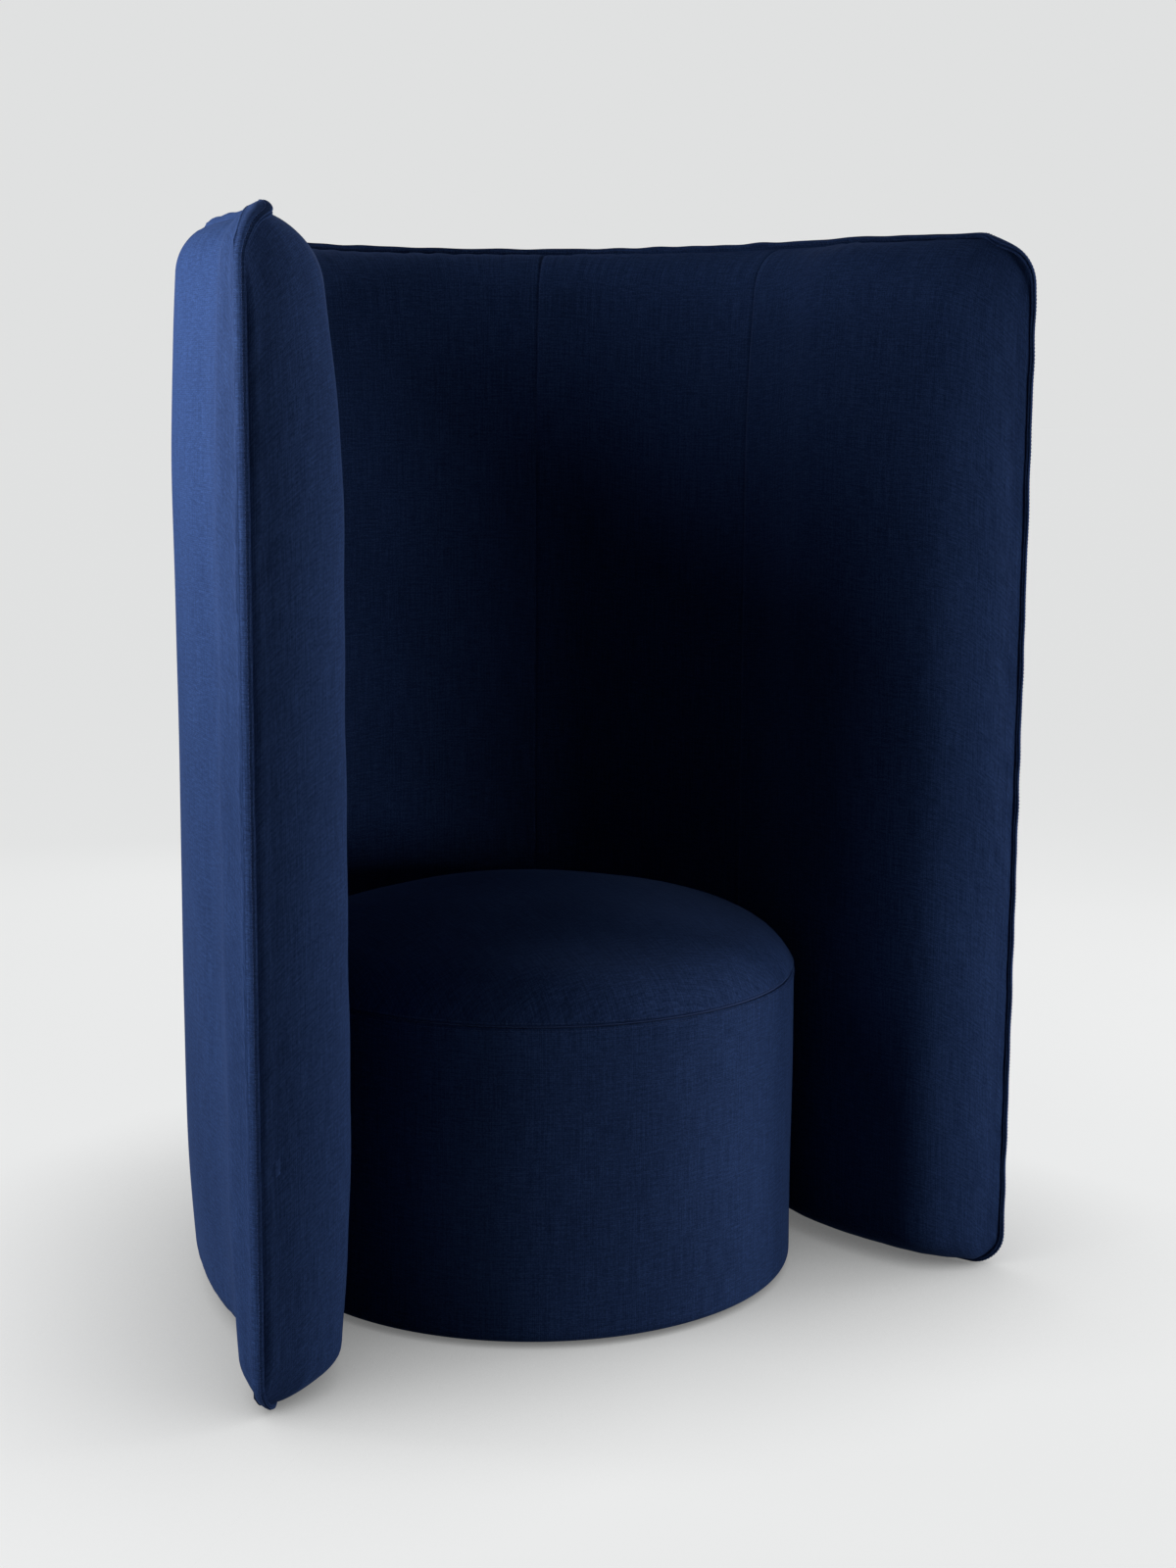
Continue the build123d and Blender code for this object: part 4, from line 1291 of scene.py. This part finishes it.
@dataclass(frozen=True)
class DrumSeat:
    """The drum-shaped seat: crowned cushion, side band and the stitched seam between them, in metres."""

    centre_y: float
    sleeve_holes: tuple[Hole, ...]
    radius: float = 0.345
    rim: float = 0.402
    # Cushion: crown and shoulder over the rim, and a hidden skirt
    crown: float = 0.106
    crown_steps: int = 40
    shoulder_width: float = 0.060
    shoulder_height: float = 0.058
    shoulder_steps: int = 24
    skirt_gap: float = 0.004
    foam_low: float = 0.3342
    cushion_fill: float = 0.9
    # Side band: rounded under at the floor, with a hem, and foam out from the wall
    corner: float = 0.012
    corner_points: int = 9
    band_steps: int = 60
    hem_end: float = 0.300
    hem_low: float = 0.0065
    base_low: float = 0.0078
    wall: float = 0.3268
    foam_gap: float = 0.0006
    cloth: float = 0.0036
    lining_gap: float = 0.006
    band_fill: float = 0.95
    # Seam: both cloths roll in to a sunk thread between two rows of stitches
    roll_in: float = 0.0006
    roll_start: float = 0.00416
    roll_end: float = 0.00234
    tuck_in: float = 0.0014
    tuck_points: int = 2
    band_tuck: float = 0.8
    seam_gap: float = 0.0013
    seam_depth: float = 0.0045
    thread: float = 0.00091
    thread_sides: int = 8
    stitch_offset: float = 0.0048
    stitch_slope: float = 0.35
    # Puckers at the seam and slow swells, held flat at the rim and the floor
    pucker: float = 0.0007
    pucker_length: float = 0.024
    pucker_reach: float = 0.02
    pucker_start: float = 0.004
    swell: float = 0.0012
    swell_length: float = 0.22
    swell_reach: float = 0.05
    band_swell: float = 0.0006
    band_swell_length: float = 0.25
    band_hold: float = 0.006
    floor_gap: float = 0.004
    floor_hold: float = 0.03
    cushion_seeds: tuple[int, int] = (5, 6)
    band_seeds: tuple[int, int] = (8, 9)
    segments: int = 288

    def build(self, finishes: Finishes) -> list[bpy.types.Object]:
        """Makes every piece of the seat.

        Args:
            finishes: The materials.

        Returns:
            The cushion, the band, the seam ring and the stitches.
        """
        return [self.cushion(finishes), self.band(finishes), *self.seam(finishes)]

    @property
    def turn(self) -> np.ndarray:
        """Angle of each segment round the seat, as a column."""
        return np.arange(self.segments)[:, None] / self.segments * 2 * math.pi

    def turned(self, profile: np.ndarray, lift: np.ndarray | None = None) -> np.ndarray:
        """Turns a line of radius and height round the seat's axis.

        Args:
            profile: Points of radius and height.
            lift: Height of the cloth over the line, segments by points, along the line's normal.

        Returns:
            Segments by points by three.
        """
        radius = np.broadcast_to(profile[:, 0], (self.segments, len(profile)))
        height = np.broadcast_to(profile[:, 1], radius.shape)
        if lift is not None:
            slope = unit(np.gradient(profile, axis=0))
            radius = radius - lift * slope[:, 1]
            height = height + lift * slope[:, 0]
        x = radius * np.cos(self.turn)
        y = self.centre_y + radius * np.sin(self.turn)
        return np.stack([x, y, height], -1)

    def crown_line(self) -> np.ndarray:
        """The cushion's top from near the middle to the rim, rolled in at the seam.

        Returns:
            Radius and height of each point.
        """
        edge = np.array([[self.radius - self.shoulder_width, self.rim + self.shoulder_height]])
        start = np.array([[0.0, self.rim + self.crown]])
        top, heading = tangent_arc(start, np.zeros(1), edge, np.linspace(0, 1, self.crown_steps))
        roll = np.array([[self.radius - self.roll_in, self.rim + self.roll_start]])
        round_over, _ = tangent_arc(edge, heading, roll, np.linspace(0, 1, self.shoulder_steps))
        tuck = np.array([
            (self.radius - self.tuck_in, self.rim + self.roll_end),
            (self.radius - self.seam_depth, self.rim + self.seam_gap),
        ])
        return np.concatenate([top[0, 1:], round_over[0, 1:], tuck])

    def cushion(self, finishes: Finishes) -> bpy.types.Object:
        """Makes the crowned cushion as a closed padded piece.

        Args:
            finishes: The materials.

        Returns:
            The cushion.
        """
        line = self.crown_line()
        inset = self.radius - self.seam_depth
        skirt = np.array([(inset, self.rim - self.skirt_gap), (inset, self.foam_low)])
        profile = np.concatenate([line, skirt])
        reach = profile[None, :, 0]
        from_rim = np.maximum(0.0, self.radius - reach)
        pucker_seed, swell_seed = self.cushion_seeds
        puckers = self.pucker * ripple(self.turn * self.radius, from_rim, self.pucker_length, pucker_seed)
        puckers = puckers * np.exp(-from_rim / self.pucker_reach) * smooth_step(from_rim / self.pucker_start)
        x, y = reach * np.cos(self.turn), reach * np.sin(self.turn)
        swells = self.swell * ripple(x, y, self.swell_length, swell_seed)
        shown = np.arange(len(profile)) < len(line) - self.tuck_points
        lift = (swells * smooth_step(from_rim / self.swell_reach) + puckers) * shown
        points = self.turned(profile, lift)
        rows, columns = points.shape[:2]
        faces = grid_faces(rows, columns, closed_rows=True)
        top, bottom = rows * columns, rows * columns + 1
        for row in range(rows):
            this, following = row * columns, (row + 1) % rows * columns
            faces.append((this, following, top))
            faces.append((this + columns - 1, following + columns - 1, bottom))
        crown = self.rim + self.crown + float(lift[:, 0].mean())
        centres = np.array([(0.0, self.centre_y, crown), (0.0, self.centre_y, self.foam_low)])
        everything = np.concatenate([points.reshape(-1, 3), centres])
        piece = mesh_piece("seat_cushion", everything, faces, everything[:, :2].copy())
        finishes.dress(piece, Slot.CLOTH, ["seat_top_cover", "seat_top_foam"])
        return piece

    def band(self, finishes: Finishes) -> bpy.types.Object:
        """Makes the side band with its foam, turned under at the floor.

        Args:
            finishes: The materials.

        Returns:
            The band.
        """
        bend = np.radians(np.linspace(0, -90, self.corner_points))
        middle, bend_high = self.radius - self.corner, self.hem_low + self.corner
        under = np.stack([middle + self.corner * np.cos(bend), bend_high + self.corner * np.sin(bend)], -1)
        heights = np.linspace(self.rim - self.roll_start, bend_high, self.band_steps)[:-1]
        straight = np.stack([np.full_like(heights, self.radius), heights], -1)
        tuck = np.array([
            (self.radius - self.band_tuck * self.seam_depth, self.rim - self.seam_gap),
            (self.radius - self.tuck_in, self.rim - self.roll_end),
        ])
        foam_high, lining = self.foam_low - self.foam_gap, self.radius - self.cloth
        hidden = np.array([
            (self.hem_end, self.hem_low), (self.hem_end, self.base_low), (self.wall, self.base_low),
            (self.wall, foam_high), (lining, foam_high), (lining, self.rim - self.lining_gap),
        ])
        profile = np.concatenate([tuck, straight, under, hidden])
        height = profile[None, :, 1]
        below = np.maximum(0.0, self.rim - height)
        around = self.turn * self.radius
        pucker_seed, swell_seed = self.band_seeds
        puckers = self.pucker * ripple(around, below, self.pucker_length, pucker_seed)
        puckers = puckers * np.exp(-below / self.pucker_reach)
        swells = self.band_swell * ripple(around, below, self.band_swell_length, swell_seed)
        held = smooth_step(below / self.band_hold) * smooth_step((height - self.floor_gap) / self.floor_hold)
        shown = np.arange(len(profile)) < len(tuck) + len(straight)
        points = self.turned(profile, -(puckers + swells) * held * shown)
        rows, columns = points.shape[:2]
        faces = grid_faces(rows, columns, closed_rows=True, closed_columns=True)
        cloth = np.stack(np.broadcast_arrays(around, height), -1).reshape(-1, 2)
        piece = mesh_piece("seat_side_band", points.reshape(-1, 3), faces, cloth)
        drill(piece, self.sleeve_holes)
        finishes.dress(piece, Slot.CLOTH, ["seat_side_cover", "seat_side_foam"])
        return piece

    def seam(self, finishes: Finishes) -> list[bpy.types.Object]:
        """Makes the sunk seam and the topstitching above and below it.

        Args:
            finishes: The materials.

        Returns:
            The seam ring and the stitches.
        """
        turn = np.arange(self.thread_sides) / self.thread_sides * 2 * math.pi
        middle = self.radius - self.seam_depth + self.thread
        ring = np.stack([middle + self.thread * np.cos(turn), self.rim + self.thread * np.sin(turn)], -1)
        points = self.turned(ring)
        rows, columns = points.shape[:2]
        faces = grid_faces(rows, columns, closed_rows=True, closed_columns=True)
        seam = mesh_piece("seat_rim_seam_thread", points.reshape(-1, 3), faces)
        finishes.dress(seam, Slot.THREAD, ["seat_rim_seam"])
        crown = self.crown_line()[::-1]
        high, low = self.rim + self.stitch_offset, self.rim - self.stitch_offset
        above = np.interp(high, crown[:, 1], crown[:, 0]), high
        rows_of_stitches = []
        for spot, slope in ((above, self.stitch_slope), ((self.radius, low), 0.0)):
            line = self.turned(np.array([spot]))[:, 0]
            out = line - np.array([0.0, self.centre_y, spot[1]])
            out[:, 2] = slope * self.radius
            out = unit(out)
            rows_of_stitches.append((np.concatenate([line, line[:1]]), np.concatenate([out, out[:1]])))
        stitches = StitchRow().piece("seat_rim_stitches", rows_of_stitches)
        finishes.dress(stitches, Slot.THREAD)
        return [seam, stitches]


# Floor, light and camera


@dataclass(frozen=True)
class Lamp:
    """A square area lamp: where it stands, its side in metres, its watts and the point it faces."""

    name: str
    spot: tuple[float, float, float]
    side: float
    watts: float
    target: tuple[float, float, float] = (0.0, 0.0, 0.7)

    def build(self) -> None:
        """Hangs the lamp, unseen by the camera."""
        lamp = bpy.data.lights.new(self.name, "AREA")
        lamp.size = self.side
        lamp.energy = self.watts
        holder = bpy.data.objects.new(self.name, lamp)
        holder.location = self.spot
        holder.visible_camera = False
        aim = Vector(self.target) - Vector(self.spot)
        holder.rotation_euler = aim.to_track_quat("-Z", "Y").to_euler()
        bpy.context.scene.collection.objects.link(holder)


@dataclass(frozen=True)
class Studio:
    """A plain pale floor under a world of the same tone, soft side light and the photograph's camera."""

    seat_y: float
    paper: StudioPaper = StudioPaper()
    lamps: tuple[Lamp, ...] = (
        Lamp("left_high", (-3.2, 0.1, 1.9), 2.2, 47.0),
        Lamp("left_low", (-3.2, 0.1, 1.0), 1.6, 38.0),
        Lamp("left_near", (-1.05, 0.1, 1.27), 0.16, 7.0, (-0.5, -0.25, 1.3)),
        Lamp("right_side", (3.2, -0.6, 1.2), 1.2, 76.0),
        Lamp("right_low", (1.6, -1.6, 0.4), 0.8, 9.0),
        Lamp("right_front", (1.5, -2.9, 0.5), 0.8, 14.5),
        Lamp("right_high", (2.4, -1.2, 3.2), 2.0, 3.2),
        Lamp("rear_soft", (0.9, 2.6, 1.3), 1.4, 16.0),
    )
    # Strength of the world as a light, and half of the floor's width
    world_light: float = 0.02
    half_width: float = 60.0
    # Camera: lens and sensor in millimetres, place from the seat's axis, level direction, tilts in radians
    lens: float = 55.5
    sensor: float = 36.0
    camera_from_seat: tuple[float, float, float] = (-1.4508, -2.767, 1.1477)
    look: tuple[float, float] = (0.4846, 0.8748)
    pitch: float = 0.1615
    roll: float = 0.0059

    def build(self) -> None:
        """Makes the stage, the lights, the world and the camera."""
        self.floor()
        for lamp in self.lamps:
            lamp.build()
        self.world()
        self.camera()

    def floor(self) -> None:
        """Makes one wide sheet that runs out to where it meets the world in the same tone."""
        reach = self.half_width
        points = np.array([(x, y, 0.0) for x in (-reach, reach) for y in (-reach, reach)])
        sheet = mesh_piece("floor_sheet", points, grid_faces(2, 2))
        sheet.data.materials.append(self.paper.material())

    def world(self) -> None:
        """Makes the world, as bright as the paper where it shows and dim as a light."""
        world = bpy.data.worlds.new("studio_world")
        world.use_nodes = True
        tree = world.node_tree
        background = tree.nodes["Background"]
        background.inputs["Color"].default_value = linear(self.paper.glow_colour)
        settings = {"operation": "MULTIPLY_ADD", 1: self.paper.glow - self.world_light, 2: self.world_light}
        strength = add_node(tree, "ShaderNodeMath", settings, in0=seen_ray(tree))
        tree.links.new(strength.outputs[0], background.inputs["Strength"])
        bpy.context.scene.world = world

    def camera(self) -> None:
        """Puts the camera where the photograph was taken from."""
        ahead = Vector((*self.look, 0.0)).normalized()
        level = ahead.cross(Vector((0, 0, 1)))
        forward = ahead * math.cos(self.pitch) - Vector((0, 0, math.sin(self.pitch)))
        upward = level.cross(forward)
        right = level * math.cos(self.roll) + upward * math.sin(self.roll)
        up = upward * math.cos(self.roll) - level * math.sin(self.roll)
        data = bpy.data.cameras.new("photograph")
        data.sensor_width = self.sensor
        data.lens = self.lens
        camera = bpy.data.objects.new("photograph", data)
        spot = Vector(self.camera_from_seat) + Vector((0, self.seat_y, 0))
        turn = Matrix((right, up, -forward)).transposed().to_4x4()
        camera.matrix_world = Matrix.Translation(spot) @ turn
        bpy.context.scene.collection.objects.link(camera)
        bpy.context.scene.camera = camera


# The chair


@dataclass
class LoungeChair:
    """The whole chair: where its parts stand, taken from the CAD frame, and the pieces that dress it."""

    finishes: Finishes
    # Half of the CAD flange's thickness, and the upright seams' places along the seam line
    flange_half: float = 0.0025
    back_seam: float = 0.240
    wing_seam: float = 0.6247
    outer_seam: float = 0.420
    # Holes round the feet, and round the seat's bolts from the seat's axis
    foot_room: float = 0.017
    foot_high: float = 0.029
    hole_low: float = -0.02
    sleeve_room: float = 0.0105
    sleeve_start: float = 0.3
    sleeve_end: float = 0.47
    # Edge foam, kept inside the cover
    top_foam_half: float = 0.017
    foam_gap: float = 0.016
    foam_end_share: float = 0.6
    pieces: list[bpy.types.Object] = field(default_factory=list)
    seat_y: float = field(init=False)
    plan: ScreenPlan = field(init=False)

    def __post_init__(self) -> None:
        """Reads the seam line's place and the seat's axis from the frame."""
        seat_low, seat_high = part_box("seat_top_cover")
        self.seat_y = (seat_low[1] + seat_high[1]) / 2
        seam_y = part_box("edge_flange")[1][1] - self.flange_half
        self.plan = ScreenPlan(seam_y=seam_y, seat_y=self.seat_y)

    def foot_holes(self) -> list[Hole]:
        """Upright holes in the padding round the levelling feet.

        Returns:
            One hole per foot.
        """
        holes = []
        feet = "leveller_front_left", "leveller_front_right", "leveller_rear_left", "leveller_rear_right"
        for name in feet:
            low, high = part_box(name)
            x, y = (low[0] + high[0]) / 2, (low[1] + high[1]) / 2
            holes.append((Vector((x, y, self.hole_low)), Vector((x, y, self.foot_high)), self.foot_room))
        return holes

    def sleeve_holes(self) -> list[Hole]:
        """Holes along the seat's bolts, from the seat's wall into the screen.

        Returns:
            One hole per bolt.
        """
        low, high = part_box("spacer_sleeves")
        flank = self.flank_direction()
        holes = []
        for direction in (Vector((0, 1, 0)), flank, Vector((-flank.x, flank.y, 0))):
            for height in (low[2] + self.sleeve_room, high[2] - self.sleeve_room):
                base = Vector((0.0, self.seat_y, height))
                start, end = base + direction * self.sleeve_start, base + direction * self.sleeve_end
                holes.append((start, end, self.sleeve_room))
        return holes

    def flank_direction(self) -> Vector:
        """Direction from the seat's axis square to the screen's side.

        Returns:
            A level direction of length one, to the right.
        """
        joint = self.plan.legs[0][0]
        across, forward, heading = (float(value[0]) for value in self.plan.walk(np.array([joint])))
        centre_x = across - self.plan.side_radius * math.sin(heading)
        centre_y = self.plan.seam_y - forward - self.plan.side_radius * math.cos(heading)
        return Vector((-centre_x, self.seat_y - centre_y, 0.0)).normalized()

    def keep(self, piece: bpy.types.Object) -> None:
        """Counts a finished piece and reports it."""
        self.pieces.append(piece)
        log.info("built %s with %d faces", piece.name, len(piece.data.polygons))

    def build_screen(self) -> None:
        """Builds the padded panels, the edge foam and the flange."""
        feet, sleeves = self.foot_holes(), self.sleeve_holes()
        tip = self.plan.tip
        panels = [
            ("inner_{}_back", Facing.INNER, -self.back_seam, self.back_seam, 1),
            ("outer_{}_back", Facing.OUTER, -self.outer_seam, self.outer_seam, 1),
        ]
        for word, side in (("left", -1), ("right", 1)):
            panels += [
                (f"inner_{{}}_corner_{word}", Facing.INNER, self.back_seam, self.wing_seam, side),
                (f"inner_{{}}_wing_{word}", Facing.INNER, self.wing_seam, tip, side),
                (f"outer_{{}}_{word}", Facing.OUTER, self.outer_seam, tip, side),
            ]
        for name, facing, start, end, side in panels:
            holes = feet + (sleeves if facing is Facing.INNER else [])
            nodes = name.format("cover"), name.format("pad")
            panel = Panel(name.format("panel"), nodes, self.plan, facing, start, end, side, tuple(holes))
            self.keep(panel.build(self.finishes))
        for node in ("edge_foam_top", "edge_foam_front_left", "edge_foam_front_right"):
            self.keep(self.edge_foam(node).build(self.finishes))
        for piece in EdgeFlange(self.plan, tuple(feet)).build(self.finishes):
            self.keep(piece)

    def edge_foam(self, node: str) -> EdgeFoam:
        """Sizes one foam strip from its node.

        Args:
            node: The CAD node it replaces.

        Returns:
            The strip, not yet built.
        """
        low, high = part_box(node)
        nose = self.plan.tip - self.plan.nose_run
        name = node + "_strip"
        if node == "edge_foam_top":
            return EdgeFoam(self.plan, node, name, -nose, nose, low[2], high[2], half=self.top_foam_half)
        seam = self.plan.tip - self.plan.flange_proud
        side = -1 if node.endswith("left") else 1
        start, end = side * (seam - self.plan.bottom_corner), side * (seam - self.foam_gap)
        return EdgeFoam(self.plan, node, name, start, end, low[2], high[2], self.foam_end_share)

    def build_seat(self) -> None:
        """Builds the cushion, the band and their seam."""
        seat = DrumSeat(self.seat_y, tuple(self.sleeve_holes()))
        for piece in seat.build(self.finishes):
            self.keep(piece)


def corners(box: Sequence[Vector]) -> list[list[float]]:
    """A box's two corners as plain numbers."""
    return [[float(value) for value in corner] for corner in box]


def main() -> None:
    logging.basicConfig(level=logging.INFO, format="%(name)s: %(message)s")
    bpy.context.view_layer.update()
    finishes = Finishes()
    finishes.dress_frame()
    chair = LoungeChair(finishes)
    chair.build_screen()
    chair.build_seat()
    Studio(chair.seat_y).build()
    bpy.context.scene.view_settings.view_transform = "Standard"
    log.info("%d pieces stand on the frame", len(chair.pieces))


if __name__ == "__main__":
    main()
